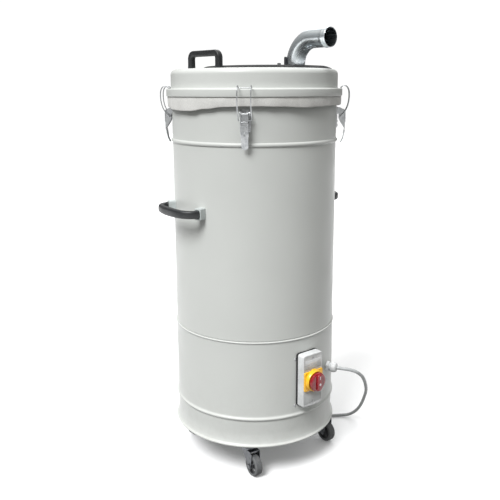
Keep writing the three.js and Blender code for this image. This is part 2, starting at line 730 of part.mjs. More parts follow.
// ---------- castors ----------
CASTOR_DEG.forEach((deg, i) => {
  const [ax, ay] = polar(deg, CASTOR_AXIS_R[i], 0);
  const fixed = facing(part, deg);
  fixed.position.set(ax, ay, 0);
  const castor = facing(part, CASTOR_TRAIL_DEG[i]);
  castor.position.set(ax, ay, 0);
  const name = QUARTER_NAME[i];

  const top = block(-28, 28, -28, 28, CASTOR_H - 2.5, CASTOR_H);
  const race = turned([[0, 84.5], [22, 84.5], [22, 91], [0, 91]], 16);
  const kingpin = disc(5, 70, 86, 10);
  const kingpinHead = disc(8, 66.5, 70, 6);
  node(fixed, "castor_plate_" + name, union(top, race, kingpin, kingpinHead), ZINC);

  // Fork: a pressed crown below the ball race and two cheeks down to the axle.
  const crown = minus(
    union(
      turned([[0, 72.6], [24, 72.6], [24, 79], [22, 84], [0, 84]], 16),
      block(-15.6, 15.6, -33, 8, 70.4, 72.8),
    ),
    disc(5.5, 60, 90, 12),
  );
  const cheekOutline = [[33, 72.8], [37, 66], [35, 28], [30, 22], [25, 23], [21, 30], [-12, 66], [-12, 72.8]];
  const cheeks = [sidePlate(cheekOutline, 13.1, 15.6), sidePlate(cheekOutline, -15.6, -13.1)];
  const axle = crossRod(3.5, -18.5, 18.5, -CASTOR_TRAIL, WHEEL_R, 10);
  const nuts = [[15.4, 19], [-19, -15.4]].map(([x0, x1]) => crossRod(6, x0, x1, -CASTOR_TRAIL, WHEEL_R, 6));
  node(castor, "castor_fork_" + name, union(crown, ...cheeks, axle, ...nuts), ZINC);

  // Wheel: grooved tread, recessed hub and an open bore.
  const half = WHEEL_W / 2;
  const wheelProfile = [
    [4, -12],
    [8, -12],
    [21, -6],
    [22.5, -half],
    [27, -half],
    [WHEEL_R, -half + 3.5],
    [WHEEL_R, half - 3.5],
    [27, half],
    [22.5, half],
    [21, 6],
    [8, 12],
    [4, 12],
  ];
  const wheel = ringOf(wheelProfile, 20).rotate([0, 90, 0]).translate([0, -CASTOR_TRAIL, WHEEL_R]);
  node(castor, "castor_wheel_" + name, wheel, TYRE_GREY);
});

export default part;
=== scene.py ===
# Drum dust collector on castors: the looks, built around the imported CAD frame.
# Builder functions work in millimetres in the row frame; the front latch faces -Y.
from math import copysign, cos, degrees, exp, pi, radians, sin, sqrt

import bmesh
import bpy
from mathutils import Matrix, Vector, noise


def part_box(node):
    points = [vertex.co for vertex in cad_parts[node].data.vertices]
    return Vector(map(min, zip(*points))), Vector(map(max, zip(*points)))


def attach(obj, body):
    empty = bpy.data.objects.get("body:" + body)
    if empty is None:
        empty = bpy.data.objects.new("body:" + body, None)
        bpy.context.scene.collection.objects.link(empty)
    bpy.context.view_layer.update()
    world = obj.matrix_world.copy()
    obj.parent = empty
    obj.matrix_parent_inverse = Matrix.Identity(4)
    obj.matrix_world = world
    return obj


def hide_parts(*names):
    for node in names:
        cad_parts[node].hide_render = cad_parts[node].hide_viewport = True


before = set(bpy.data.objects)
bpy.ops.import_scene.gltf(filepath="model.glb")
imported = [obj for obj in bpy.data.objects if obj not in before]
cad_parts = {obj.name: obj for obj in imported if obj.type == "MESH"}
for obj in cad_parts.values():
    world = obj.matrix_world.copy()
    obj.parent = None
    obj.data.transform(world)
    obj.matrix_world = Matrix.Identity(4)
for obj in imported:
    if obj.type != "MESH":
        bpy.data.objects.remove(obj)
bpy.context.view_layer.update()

MM = 0.001
CHASSIS = "chassis"
QUARTERS = {"front": 0, "right": 90, "back": 180, "left": 270}

# ---------- driving dimensions ----------
DRUM_R = 230.0
SHEET = 2.0
LID_R = 232.0
BAND_R = 245.0
LID_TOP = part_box("lid")[1].z / MM
MAT_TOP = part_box("lid_mat")[1].z / MM
DRUM_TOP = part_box("drum")[1].z / MM
SPLIT_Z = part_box("motor_housing")[1].z / MM
CUFF_TOP = 1046.5
PIPE_AT = (118.5, -90.3)
PIPE_DEG = 48.0
PIPE_R = 25.0
LID_HANDLE_DEG = -43
SWITCH_DEG = 43.5
SWITCH_Z = 280.0
SWITCH_FACE = 257.0
GLAND_DEG = 69.0
GLAND_Z = 277.0
CORD_R = 4.75
COIL_Y = 336.0
COIL_R = 66.5
COVER_SCREW_DZ = 62
TRAIL = 28
AXLE_Z = 30
# Where each castor's swivel axis stands, (radius, angle), and where its wheel trails.
CASTORS = {"front": (188, 0, 38), "right": (200, 96, 44), "back": (188, 180, 33), "left": (200, 276, 150)}


def placed(name, data):
    """A new object, linked into the scene."""
    made = bpy.data.objects.new(name, data)
    bpy.context.scene.collection.objects.link(made)
    return made


def turned(deg, axis="Z"):
    return Matrix.Rotation(radians(deg), 4, axis)


# ---------- camera ----------
def make_camera():
    """A camera at the product shot's viewing angle, a little left of the front latch and at lid height."""
    azimuth, pitch, yaw, roll = (radians(a) for a in (5.5, 11.18, -0.391, -0.21))
    distance, height = 1.920, 1.064
    ahead = Vector((sin(yaw) * cos(pitch), cos(yaw) * cos(pitch), -sin(pitch)))
    side = Vector((cos(yaw), -sin(yaw), 0.0))
    top = side.cross(ahead)
    right = cos(roll) * side + sin(roll) * top
    up = -sin(roll) * side + cos(roll) * top
    axes = Matrix((right, up, -ahead)).transposed().to_4x4()
    data = bpy.data.cameras.new("camera")
    data.lens, data.sensor_width, data.shift_y = 48.41, 36.0, -0.06
    camera = placed("camera", data)
    camera.matrix_world = (
        Matrix.Rotation(azimuth, 4, "Z") @ Matrix.Translation((0.0, -distance, height)) @ axes
    )
    bpy.context.scene.camera = camera


make_camera()


# ---------- materials ----------
class Look:
    """A node material around one Principled shader, textured in the piece's own coordinates."""

    def __init__(self, name, roughness, metallic=0.0, **constants):
        self.material = bpy.data.materials.new(name)
        self.material.use_nodes = True
        self.tree = self.material.node_tree
        self.shader = self.tree.nodes["Principled BSDF"]
        self.shader.inputs["Roughness"].default_value = roughness
        self.shader.inputs["Metallic"].default_value = metallic
        for socket, value in constants.items():
            self.shader.inputs[socket.replace("_", " ")].default_value = value
        self.height = None
        self.place = self.node("ShaderNodeTexCoord").outputs["Object"]

    def node(self, kind, inputs=None, **settings):
        made = self.tree.nodes.new(kind)
        for key, value in settings.items():
            setattr(made, key, value)
        for socket, value in (inputs or {}).items():
            made.inputs[socket].default_value = value
        return made

    def join(self, source, target):
        self.tree.links.new(source, target)

    def noise(self, scale, detail=3.0, rough=0.5, stretch=None, place=None):
        """A noise of so many features a metre, optionally stretched per axis."""
        place = place or self.place
        if stretch:
            mapping = self.node("ShaderNodeMapping", {"Scale": stretch})
            self.join(place, mapping.inputs["Vector"])
            place = mapping.outputs["Vector"]
        made = self.node("ShaderNodeTexNoise", {"Scale": scale, "Detail": detail, "Roughness": rough})
        self.join(place, made.inputs["Vector"])
        return made.outputs["Fac"]

    def cells(self, scale, place=None):
        made = self.node("ShaderNodeTexVoronoi", {"Scale": scale})
        self.join(place or self.place, made.inputs["Vector"])
        return made.outputs

    def attribute(self, name, output="Fac"):
        return self.node("ShaderNodeAttribute", attribute_name=name).outputs[output]

    def remap(self, value, low, high, to_low=0.0, to_high=1.0):
        made = self.node("ShaderNodeMapRange", clamp=True)
        for socket, number in zip(made.inputs[1:5], (low, high, to_low, to_high)):
            socket.default_value = number
        self.join(value, made.inputs["Value"])
        return made.outputs["Result"]

    def patches(self, low, high, *noise, most=1.0):
        """A noise faded in between low and high, up to most."""
        return self.remap(self.noise(*noise), low, high, 0.0, most)

    def times(self, a, b):
        made = self.node("ShaderNodeMath", operation="MULTIPLY")
        self.join(a, made.inputs[0])
        if isinstance(b, (int, float)):
            made.inputs[1].default_value = b
        else:
            self.join(b, made.inputs[1])
        return made.outputs[0]

    def mix(self, share, a, b):
        """Colour a where share is 0, colour b where it is 1; each is a colour or a socket."""
        made = self.node("ShaderNodeMix", data_type="RGBA")
        self.join(share, made.inputs["Factor"])
        for socket, colour in ((made.inputs[6], a), (made.inputs[7], b)):
            if isinstance(colour, tuple):
                socket.default_value = (*colour, 1.0)
            else:
                self.join(colour, socket)
        return made.outputs[2]

    def colour(self, socket):
        self.join(socket, self.shader.inputs["Base Color"])

    def roughen(self, value, low, high, to_low, to_high):
        self.join(self.remap(value, low, high, to_low, to_high), self.shader.inputs["Roughness"])

    def bump(self, value, distance, strength=1.0):
        """Adds a layer of relief, distance in metres."""
        made = self.node("ShaderNodeBump", {"Distance": distance, "Strength": strength})
        self.join(value, made.inputs["Height"])
        if self.height is not None:
            self.join(self.height, made.inputs["Normal"])
        self.height = made.outputs["Normal"]
        self.join(self.height, self.shader.inputs["Normal"])


def shade(colour, factor):
    return tuple(min(1.0, c * factor) for c in colour)


def powder_coat():
    look = Look("grey_powder_coat", 0.38, Specular_IOR_Level=0.28, Coat_Weight=0.03, Coat_Roughness=0.3)
    base = (0.600, 0.618, 0.598)
    clouds = look.mix(look.patches(0.35, 0.65, 3.2, 4), shade(base, 0.965), shade(base, 1.02))
    speckle = look.mix(look.patches(0.45, 0.7, 1300, 2, most=0.22), clouds, shade(base, 0.86))
    low = look.node("ShaderNodeSeparateXYZ")
    look.join(look.place, low.inputs["Vector"])
    grime = look.times(look.remap(low.outputs["Z"], 0.33, 0.09), look.patches(0.4, 0.75, 26, 5, 0.7))
    dusty = look.mix(look.times(grime, 0.18), speckle, (0.30, 0.29, 0.26))
    # Sharp edges lightened: part chipped wear, part a painted edge highlight.
    worn = look.times(look.remap(look.attribute("edge"), 0.15, 0.9), look.patches(0.42, 0.62, 90, 4))
    look.colour(look.mix(look.times(worn, 0.45), dusty, shade(base, 1.22)))
    look.roughen(look.noise(14, 4), 0.3, 0.7, 0.29, 0.41)
    look.bump(look.noise(420, 2), 0.00025, 0.22)
    look.bump(look.noise(7, 3), 0.003, 0.06)
    return look.material


def galvanised():
    look = Look("galvanised_tube", 0.2, 1.0)
    run = look.attribute("run", "Vector")
    streaks = look.noise(2.4, 3, 0.5, (1.0, 1.0, 0.05), run)
    spangle = look.cells(150)["Color"]
    patch = look.mix(look.remap(spangle, 0.2, 0.8, 0.0, 0.18), (0.74, 0.785, 0.81), (0.88, 0.91, 0.925))
    look.colour(look.mix(look.remap(streaks, 0.42, 0.68), patch, (0.58, 0.635, 0.67)))
    look.roughen(streaks, 0.35, 0.7, 0.20, 0.36)
    look.bump(look.noise(1.2, 2, 0.4, (1.0, 1.0, 0.25), run), 0.001, 0.06)
    look.bump(look.noise(700, 2), 0.00004, 0.08)
    return look.material


def zinc_plate(name, dark, light):
    look = Look(name, 0.3, 1.0)
    worn = look.remap(look.attribute("edge"), 0.2, 0.8)
    blotch = look.mix(look.patches(0.35, 0.65, 120, 4), dark, light)
    stained = look.mix(look.patches(0.6, 0.72, 45, 5, 0.7, most=0.25), blotch, shade(dark, 0.75))
    look.colour(look.mix(look.times(worn, 0.5), stained, shade(light, 1.15)))
    look.roughen(look.noise(260, 3), 0.3, 0.7, 0.28, 0.42)
    look.bump(look.noise(900, 2, 0.5, (1.0, 1.0, 0.3)), 0.00008, 0.2)
    return look.material


def needle_felt():
    look = Look("needle_felt", 0.95, Sheen_Weight=0.25, Sheen_Roughness=0.5)
    fibres = look.noise(950, 4, 0.75, (1.0, 1.0, 0.35))
    tone = look.mix(look.remap(fibres, 0.35, 0.65), (0.54, 0.54, 0.52), (0.74, 0.74, 0.72))
    soiled = look.patches(0.52, 0.8, 11, 5, 0.65, most=0.35)
    look.colour(look.mix(soiled, tone, (0.50, 0.485, 0.44)))
    look.bump(fibres, 0.0005, 0.7)
    look.bump(look.noise(60, 3), 0.0016, 0.35)
    return look.material


def grained(name, base, roughness, grain=1400, edge_lift=1.6, dust=None, **constants):
    """Moulded plastic or rubber: fine grain, a cloudy tone, edges lighter (part rubbed wear, part a painted
    edge highlight), and dust if asked for.
    """
    look = Look(name, roughness, **constants)
    body = look.mix(look.patches(0.35, 0.65, 38, 4), shade(base, 0.86), shade(base, 1.1))
    if dust:
        settled = look.patches(0.48, 0.75, 55, 6, 0.75, most=0.4)
        body = look.mix(settled, body, dust)
    # Edges lightened by edge_lift: part rubbed wear, part a painted edge highlight.
    edge_wear_and_highlight = look.times(look.remap(look.attribute("edge"), 0.2, 0.9), look.patches(0.35, 0.6, 160, 3))
    look.colour(look.mix(look.times(edge_wear_and_highlight, 0.5), body, shade(base, edge_lift)))
    look.roughen(look.noise(24, 4), 0.3, 0.7, roughness * 0.86, roughness * 1.14)
    look.bump(look.noise(grain, 2), 0.00018, 0.3)
    return look.material


def cable_sheath():
    look = Look("cable_sheath", 0.46)
    body = look.mix(look.patches(0.35, 0.65, 60, 4), (0.35, 0.365, 0.37), (0.44, 0.455, 0.46))
    scuffs = look.patches(0.6, 0.75, 30, 6, 0.8, most=0.45)
    look.colour(look.mix(scuffs, body, (0.27, 0.27, 0.26)))
    look.bump(look.noise(500, 2), 0.0002, 0.25)
    return look.material


def tyre_rubber():
    look = Look("tyre_rubber", 0.72)
    body = look.mix(look.patches(0.35, 0.65, 70, 4), (0.105, 0.11, 0.115), (0.15, 0.155, 0.16))
    worn = look.patches(0.5, 0.72, 190, 5, 0.7, most=0.55)
    look.colour(look.mix(worn, body, (0.23, 0.225, 0.21)))
    look.bump(look.noise(800, 3), 0.0003, 0.5)
    return look.material


def studio_floor():
    look = Look("studio_floor", 0.55, Specular_IOR_Level=0.25, Emission_Strength=0.09)
    tone = look.mix(look.noise(2.0, 3), (0.875, 0.88, 0.89), (0.895, 0.90, 0.905))
    look.colour(tone)
    look.shader.inputs["Emission Color"].default_value = (0.97, 0.98, 1.0, 1.0)
    return look.material


COAT = powder_coat()
TUBE = galvanised()
ZINC = zinc_plate("zinc_plate", (0.29, 0.30, 0.31), (0.41, 0.42, 0.425))
# A darkened copy of the zinc plate: painted shade for the castors that stand in the shadow under the drum.
SHADED_ZINC = zinc_plate("shaded_zinc", (0.10, 0.105, 0.115), (0.19, 0.195, 0.205))
FELT = needle_felt()
BLACK = grained("black_plastic", (0.014, 0.015, 0.017), 0.40, edge_lift=5.0)
RUBBER = grained("black_rubber", (0.009, 0.009, 0.010), 0.78, 700, 3.0, dust=(0.045, 0.045, 0.044))
PALE = grained("pale_plastic", (0.63, 0.645, 0.65), 0.34, edge_lift=1.15)
GREY_PLASTIC = grained("grey_plastic", (0.50, 0.54, 0.535), 0.42, edge_lift=1.25)
LABEL = grained("label_zone", (0.47, 0.485, 0.485), 0.38, edge_lift=1.1)
LABEL_DARK = grained("label_band", (0.36, 0.375, 0.38), 0.36, edge_lift=1.1)
YELLOW = grained("yellow_plastic", (0.93, 0.50, 0.018), 0.30, edge_lift=1.1, Coat_Weight=0.2)
RED = grained("red_plastic", (0.26, 0.003, 0.010), 0.24, edge_lift=1.4, Coat_Weight=0.3, Coat_Roughness=0.1)
CABLE = cable_sheath()
TYRE = tyre_rubber()
MOTOR_PAINT = grained("motor_paint", (0.05, 0.085, 0.13), 0.45, 500, 1.6, dust=(0.2, 0.19, 0.17))
ALUMINIUM = grained("cast_aluminium", (0.46, 0.47, 0.48), 0.42, 350, 1.4, Metallic=0.9)
BRASS = grained("plug_pins", (0.60, 0.56, 0.48), 0.28, 600, 1.2, Metallic=1.0)


# ---------- mesh building ----------
def mark_edges(mesh):
    """Writes how sharply each point stands out, 0 to 1, for the wear and the painted edge highlights in the
    materials.
    """
    bm = bmesh.new()
    bm.from_mesh(mesh)
    values = []
    for vertex in bm.verts:
        bends = [e.calc_face_angle_signed(0.0) for e in vertex.link_edges if len(e.link_faces) == 2]
        values.append(min(1.0, max([0.0, *bends]) / 0.9))
    bm.free()
    attribute = mesh.attributes.new("edge", "FLOAT", "POINT")
    attribute.data.foreach_set("value", values)


def rework(mesh, change=None):
    """Runs change on the mesh's points and edges, then turns all faces outward."""
    bm = bmesh.new()
    bm.from_mesh(mesh)
    if change:
        change(bm)
    bmesh.ops.recalc_face_normals(bm, faces=bm.faces)
    bm.to_mesh(mesh)
    bm.free()


def piece(name, shape, look, stands_for=(), deg=0.0, at=(0, 0, 0), crease=38, body=CHASSIS):
    """One object from (points, faces), turned about Z to face deg and moved to at, riding on a body."""
    points, faces = shape[0], shape[1]
    mesh = bpy.data.meshes.new(name)
    turn = Matrix.Translation(Vector(at) * MM) @ turned(deg)
    mesh.from_pydata([turn @ (Vector(p) * MM) for p in points], [], faces)
    rework(mesh, lambda bm: bmesh.ops.remove_doubles(bm, verts=bm.verts, dist=1e-7))
    mesh.shade_smooth()
    mesh.set_sharp_from_angle(angle=radians(crease))
    mark_edges(mesh)
    mesh.materials.append(look)
    if len(shape) > 2 and len(shape[2]) == len(mesh.vertices):
        run = mesh.attributes.new("run", "FLOAT_VECTOR", "POINT")
        run.data.foreach_set("vector", [c for v in shape[2] for c in v])
    made = placed(name, mesh)
    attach(made, body)
    if stands_for:
        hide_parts(*stands_for)
    return made


def merged(*shapes):
    """Several (points, faces) as one."""
    points, faces = [], []
    for shape in shapes:
        start = len(points)
        points += list(shape[0])
        faces += [[start + i for i in face] for face in shape[1]]
    return points, faces


def moved(shape, at=(0, 0, 0), deg=0.0, axis="Z"):
    turn = Matrix.Translation(at) @ turned(deg, axis)
    return [tuple(turn @ Vector(p)) for p in shape[0]], shape[1]


def arc(r, z, radius, start, end, steps):
    """Points of a profile on an arc about (r, z)."""
    angles = [radians(start + (end - start) * i / steps) for i in range(steps + 1)]
    return [(r + radius * cos(a), z + radius * sin(a)) for a in angles]


def lathe(profile, segments=192, wave=None):
    """A profile of (radius, height) turned about Z. wave(angle, radius, height) may shift each point."""
    closed = profile[0] == profile[-1]
    rows = profile[:-1] if closed else profile
    points, index = [], []
    for r, z in rows:
        if r == 0:
            index.append([len(points)] * segments)
            points.append((0.0, 0.0, z))
            continue
        index.append([len(points) + k for k in range(segments)])
        for k in range(segments):
            a = 2 * pi * k / segments
            radius, height = wave(a, r, z) if wave else (r, z)
            points.append((radius * sin(a), -radius * cos(a), height))
    faces = []
    pairs = list(zip(index, index[1:])) + ([(index[-1], index[0])] if closed else [])
    for low, high in pairs:
        for k in range(segments):
            n = (k + 1) % segments
            corners = [low[k], low[n], high[n], high[k]]
            faces.append([c for i, c in enumerate(corners) if c != corners[i - 1]])
    return points, faces


def outward(shape, at=(0, 0, 0)):
    """Turns a lathe made about Z so that its top faces -Y, then moves it."""
    return [(x + at[0], -z + at[1], y + at[2]) for x, y, z in shape[0]], shape[1]


def smooth_path(points, per=8):
    """A curve through the points, with so many steps for each span."""
    p = [Vector(v) for v in points]
    p = [2 * p[0] - p[1], *p, 2 * p[-1] - p[-2]]
    made = []
    for a, b, c, d in zip(p, p[1:], p[2:], p[3:]):
        for i in range(per):
            t = i / per
            made.append(0.5 * (2 * b + (c - a) * t + (2 * a - 5 * b + 4 * c - d) * t * t
                               + (3 * b - a - 3 * c + d) * t ** 3))
    return [*made, p[-2]]


def oval(across, rise, sides=24, power=2.0):
    """A section: an ellipse at power 2, a rounded rectangle above it."""
    made = []
    for k in range(sides):
        a = 2 * pi * k / sides
        c, s = cos(a), sin(a)
        made.append((across * copysign(abs(c) ** (2 / power), c),
                     rise * copysign(abs(s) ** (2 / power), s)))
    return made


def skin(rings):
    """The faces between neighbouring rings of point numbers, and one over each end."""
    faces = []
    for low, high in zip(rings, rings[1:]):
        for k in range(len(low)):
            n = (k + 1) % len(low)
            faces.append([low[k], low[n], high[n], high[k]])
    return [*faces, rings[0][::-1], rings[-1]]


def sweep(section, path, up=(0, 0, 1), size=None, round_ends=0.0):
    """A section of (across, rise) swept along a path. size(t) scales it, and round_ends domes both ends."""
    path = [Vector(p) for p in path]
    points, run, rings = [], [], []
    rise = Vector(up)
    total = sum((b - a).length for a, b in zip(path, path[1:]))
    travelled = 0.0
    for i, place in enumerate(path):
        ahead = (path[min(i + 1, len(path) - 1)] - path[max(i - 1, 0)]).normalized()
        rise = (rise - ahead * rise.dot(ahead)).normalized()
        across = ahead.cross(rise)
        travelled += (place - path[i - 1]).length if i else 0.0
        k = size(travelled / total) if size else 1.0
        k = k if isinstance(k, tuple) else (k, k)
        if round_ends:
            near = min(travelled, total - travelled) / round_ends
            dome = sqrt(max(0.02, 1 - max(0.0, 1 - near) ** 2))
            k = (k[0] * dome, k[1] * dome)
        ring = []
        for j, (a, r) in enumerate(section):
            ring.append(len(points))
            points.append(tuple(place + across * a * k[0] + rise * r * k[1]))
            turn = 2 * pi * j / len(section)
            run.append((cos(turn), sin(turn), travelled / 20.0))
        rings.append(ring)
    return points, skin(rings), run


def rounded_outline(width, height, corner, inset=0.0, steps=6):
    w, h = width / 2 - corner, height / 2 - corner
    r = max(corner - inset, 0.3)
    w, h = (w, h) if corner > inset else (w - inset + corner, h - inset + corner)
    made = []
    for cx, cz, start in ((w, h, 0), (-w, h, 90), (-w, -h, 180), (w, -h, 270)):
        for i in range(steps + 1):
            a = radians(start + 90 * i / steps)
            made.append((cx + r * cos(a), cz + r * sin(a)))
    return made


def slab(width, height, corner, back, front, fillet, x=0.0, z=0.0, steps=5, curve=None):
    """A rounded rectangle seen from the front, from distance back to front, its front edge filleted.
    curve bends the back to a cylinder of that radius about Z."""
    layers = [(back, 0.0)]
    for i in range(steps + 1):
        a = radians(90 * i / steps)
        layers.append((front - fillet + fillet * sin(a), fillet * (1 - cos(a))))
    points, rings = [], []
    for n, (depth, inset) in enumerate(layers):
        ring = []
        for px, pz in rounded_outline(width, height, corner, inset):
            out = sqrt(curve ** 2 - (px + x) ** 2) if curve and n == 0 else depth
            ring.append(len(points))
            points.append((px + x, -out, pz + z))
        rings.append(ring)
    return points, skin(rings)


def side_sheet(outline, x0, x1):
    """A flat sheet whose outline is (distance out, height), from x0 to x1."""
    count = len(outline)
    points = [(x, -d, z) for x in (x0, x1) for d, z in outline]
    faces = [list(range(count)), list(range(count, 2 * count))[::-1]]
    faces += [[k, (k + 1) % count, (k + 1) % count + count, k + count] for k in range(count)]
    return points, faces


def rod(radius, start, end, sides=20, chamfer=0.0):
    """A round bar between two points, its ends chamfered."""
    a, b = Vector(start), Vector(end)
    along = (b - a).normalized()
    stops = [a, a + along * chamfer, b - along * chamfer, b] if chamfer else [a, b]
    up = (0, 0, 1) if abs(along.z) < 0.9 else (1, 0, 0)
    shape = sweep(oval(radius, radius, sides), stops, up,
                  lambda t: 1 - chamfer / radius if chamfer and t in (0.0, 1.0) else 1.0)
    return shape[0], shape[1]


def hexagon_head(radius, height, round_top=0.6):
    profile = [(0, 0), (radius, 0), (radius, height - round_top), (radius * 0.86, height), (0, height)]
    return lathe(profile, 6)


def button_head(radius, height, steps=5):
    """A domed rivet or screw head on the plane z = 0."""
    dome = [(radius * cos(a), height * sin(a))
            for a in (radians(90 * i / steps) for i in range(steps))]
    return lathe([(0, 0), *dome, (0, height)], 20)


def bevelled(made, width, segments=3, angle=35):
    """Rounds a piece's hard edges in its own mesh, and marks the edges again for wear and painted edge
    highlights.
    """
    def soften(bm):
        sharp = [e for e in bm.edges
                 if len(e.link_faces) == 2 and e.calc_face_angle(0.0) > radians(angle)]
        bmesh.ops.bevel(bm, geom=sharp, offset=width * MM, segments=segments, profile=0.5,
                        affect="EDGES", clamp_overlap=True)

    rework(made.data, soften)
    made.data.attributes.remove(made.data.attributes["edge"])
    mark_edges(made.data)
    made.data.shade_smooth()
    made.data.set_sharp_from_angle(angle=radians(50))
    return made


def cut(made, *shapes):
    """Subtracts closed shapes from a piece's mesh."""
    for number, shape in enumerate(shapes):
        cutter_mesh = bpy.data.meshes.new("cutter")
        cutter_mesh.from_pydata([Vector(p) * MM for p in shape[0]], [], shape[1])
        rework(cutter_mesh)
        cutter = placed("cutter", cutter_mesh)
        modifier = made.modifiers.new(f"cut_{number}", "BOOLEAN")
        modifier.operation, modifier.solver, modifier.object = "DIFFERENCE", "EXACT", cutter
        depsgraph = bpy.context.evaluated_depsgraph_get()
        result = bpy.data.meshes.new_from_object(made.evaluated_get(depsgraph))
        made.modifiers.clear()
        made.data = result
        bpy.data.objects.remove(cutter)
    made.data.set_sharp_from_angle(angle=radians(38))
    return made


def turn_to(made, deg):
    """Turns a finished piece's mesh about Z to face deg."""
    made.data.transform(turned(deg))


# ---------- drum, housing, lid ----------
def make_drum():
    r = DRUM_R
    profile = [
        (r - SHEET, SPLIT_Z + 0.8), (r - 0.4, SPLIT_Z + 0.8), (r, SPLIT_Z + 1.4), (r, SPLIT_Z + 4),
        (r, 760), (r, 910), (r, 913),
        *arc(r - 3.0, 920, 6.6, -63, 63, 14), (r, 927), (r, 930), (r, DRUM_TOP - 12),
        (r, DRUM_TOP - 8),
        *arc(r + 0.2, DRUM_TOP - 3.4, 3.4, -70, 90, 9), (r - SHEET, DRUM_TOP), (r - SHEET, SPLIT_Z + 0.8),
    ]
    piece("drum_shell", lathe(profile, 256, seam_wave), COAT, stands_for=["drum"])


def seam_wave(angle, radius, height):
    """The rolled sheet's welded seam, a low raised line at the back."""
    off = abs(degrees(angle) - 168.75)
    return (radius + 0.9, height) if off < 0.3 and DRUM_R - 0.2 < radius < DRUM_R + 1 else (radius, height)


def make_housing():
    r = DRUM_R + 0.6
    neck = smooth_path(
        [(r, 0, 164), (r - 0.9, 0, 146), (r - 1.5, 0, 128), (r - 0.4, 0, 112), (r + 1.4, 0, 104)], 5
    )
    profile = [
        (r - SHEET, 96.0), (r, 95.4),
        *arc(233.4, 98.0, 3.4, -110, 75, 10),
        *[(p.x, p.z) for p in reversed(neck)],
        (r, 166.5), (r, 169.5), *arc(r - 0.7, 176, 4.5, -60, 60, 10), (r, 182.5), (r, 185.5),
        (r, SPLIT_Z - 11), (r, SPLIT_Z - 7.5),
        *arc(r - 0.4, SPLIT_Z - 2.6, 2.6, -75, 90, 9), (r - SHEET, SPLIT_Z), (r - SHEET, 96.0),
    ]
    housing = piece("housing_shell", lathe(profile, 256, seam_wave), COAT,
                    stands_for=["motor_housing"])
    cut(housing, moved(rod(8.3, (0, -215, GLAND_Z), (0, -245, GLAND_Z), 24), deg=GLAND_DEG))
    for deg, z in ((34.0, 339.0), (33.8, 204.0)):
        screw_on_drum(f"housing_screw_{int(z)}", deg, r, z)


def screw_on_drum(name, deg, radius, z):
    """A domed screw head with a cross recess, standing on the shell."""
    head = piece(name, outward(button_head(3.6, 2.0), (0, -radius + 0.2, z)), ZINC)
    back, front = radius + 0.6, radius + 4
    cut(head, *[slab(*size, 0.2, back, front, 0.1, 0, z, 1) for size in ((4.2, 0.9), (0.9, 4.2))])
    turn_to(head, deg)


def make_lid():
    edge = 15.0
    r, top = LID_R, LID_TOP
    profile = [
        (0, top - SHEET), (150, top - SHEET),
        *arc(r - edge, top - edge, edge - SHEET, 90, 0, 8),
        (r - SHEET, 1058), (BAND_R - SHEET, 1058), (BAND_R - SHEET, 1041),
        *arc(BAND_R - 1.0, 1041, 1.0, 180, 360, 6),
        (BAND_R, 1050), *arc(BAND_R - 2.6, 1057.4, 2.6, 0, 90, 6),
        (r + 4, 1060), *arc(r + 3.2, 1063.2, 3.2, 270, 180, 5),
        (r, 1080), *arc(r - edge, top - edge, edge, 0, 90, 12), (150, top), (80, top), (0, top),
    ]
    lid = piece("lid_shell", lathe(profile, 256), COAT, stands_for=["lid"])
    cut(lid, moved(rod(PIPE_R + 0.5, (0, 0, 1090), (0, 0, 1130), 48), (*PIPE_AT, 0)))
    gasket = [(230.9, 1053.6), (241.2, 1053.6), (241.5, 1055.5), (241.2, 1057.5), (230.9, 1057.5),
              (230.9, 1053.6)]
    piece("lid_seal", lathe(gasket, 192), RUBBER, stands_for=["lid_gasket"])


def make_mat():
    centre = (33.8, -3.3)
    ripples = [(r, MAT_TOP - (0.5 if i % 2 else 0.0)) for i, r in enumerate(range(150, 20, -10))]
    profile = [
        (0, LID_TOP + 0.3), (180, LID_TOP + 0.3), (181, LID_TOP + 0.8), (180.4, LID_TOP + 1.9),
        (174, LID_TOP + 4.6), (168, MAT_TOP - 1.2), (164, MAT_TOP - 0.3), (158, MAT_TOP), *ripples,
        (0, MAT_TOP),
    ]
    mat = piece("rubber_mat", lathe(profile, 192), RUBBER, stands_for=["lid_mat"],
                at=(*centre, 0))
    cut(mat, moved(rod(PIPE_R + 13.5, (0, 0, LID_TOP - 4), (0, 0, MAT_TOP + 4), 64), (*PIPE_AT, 0)))
    bolt = merged(lathe([(0, 0), (8, 0), (8, 1.2), (0, 1.2)], 28), moved(hexagon_head(5.2, 4.6), (0, 0, 1.2)))
    piece("mat_bolt", bolt, ZINC, at=(76.3, -113.1, MAT_TOP - 0.2))


# ---------- filter bag ----------
def hem_height(deg):
    """How low the cuff hangs round the drum, measured from the front latch."""
    knots = [(-180, 1016.5), (-158, 1012.5), (-120, 1014), (-90, 1016.5), (-74, 1011.5), (-52, 1004),
             (-38, 1003.5), (-27, 1009), (-12, 1015), (5, 1017), (24, 1015), (38, 1012.5), (60, 1015),
             (90, 1016.5), (130, 1011), (160, 1012.5), (180, 1016.5)]
    for (a, low), (b, high) in zip(knots, knots[1:]):
        if a <= deg <= b:
            t = (deg - a) / (b - a)
            t = t * t * (3 - 2 * t)
            return low + (high - low) * t
    return knots[-1][1]


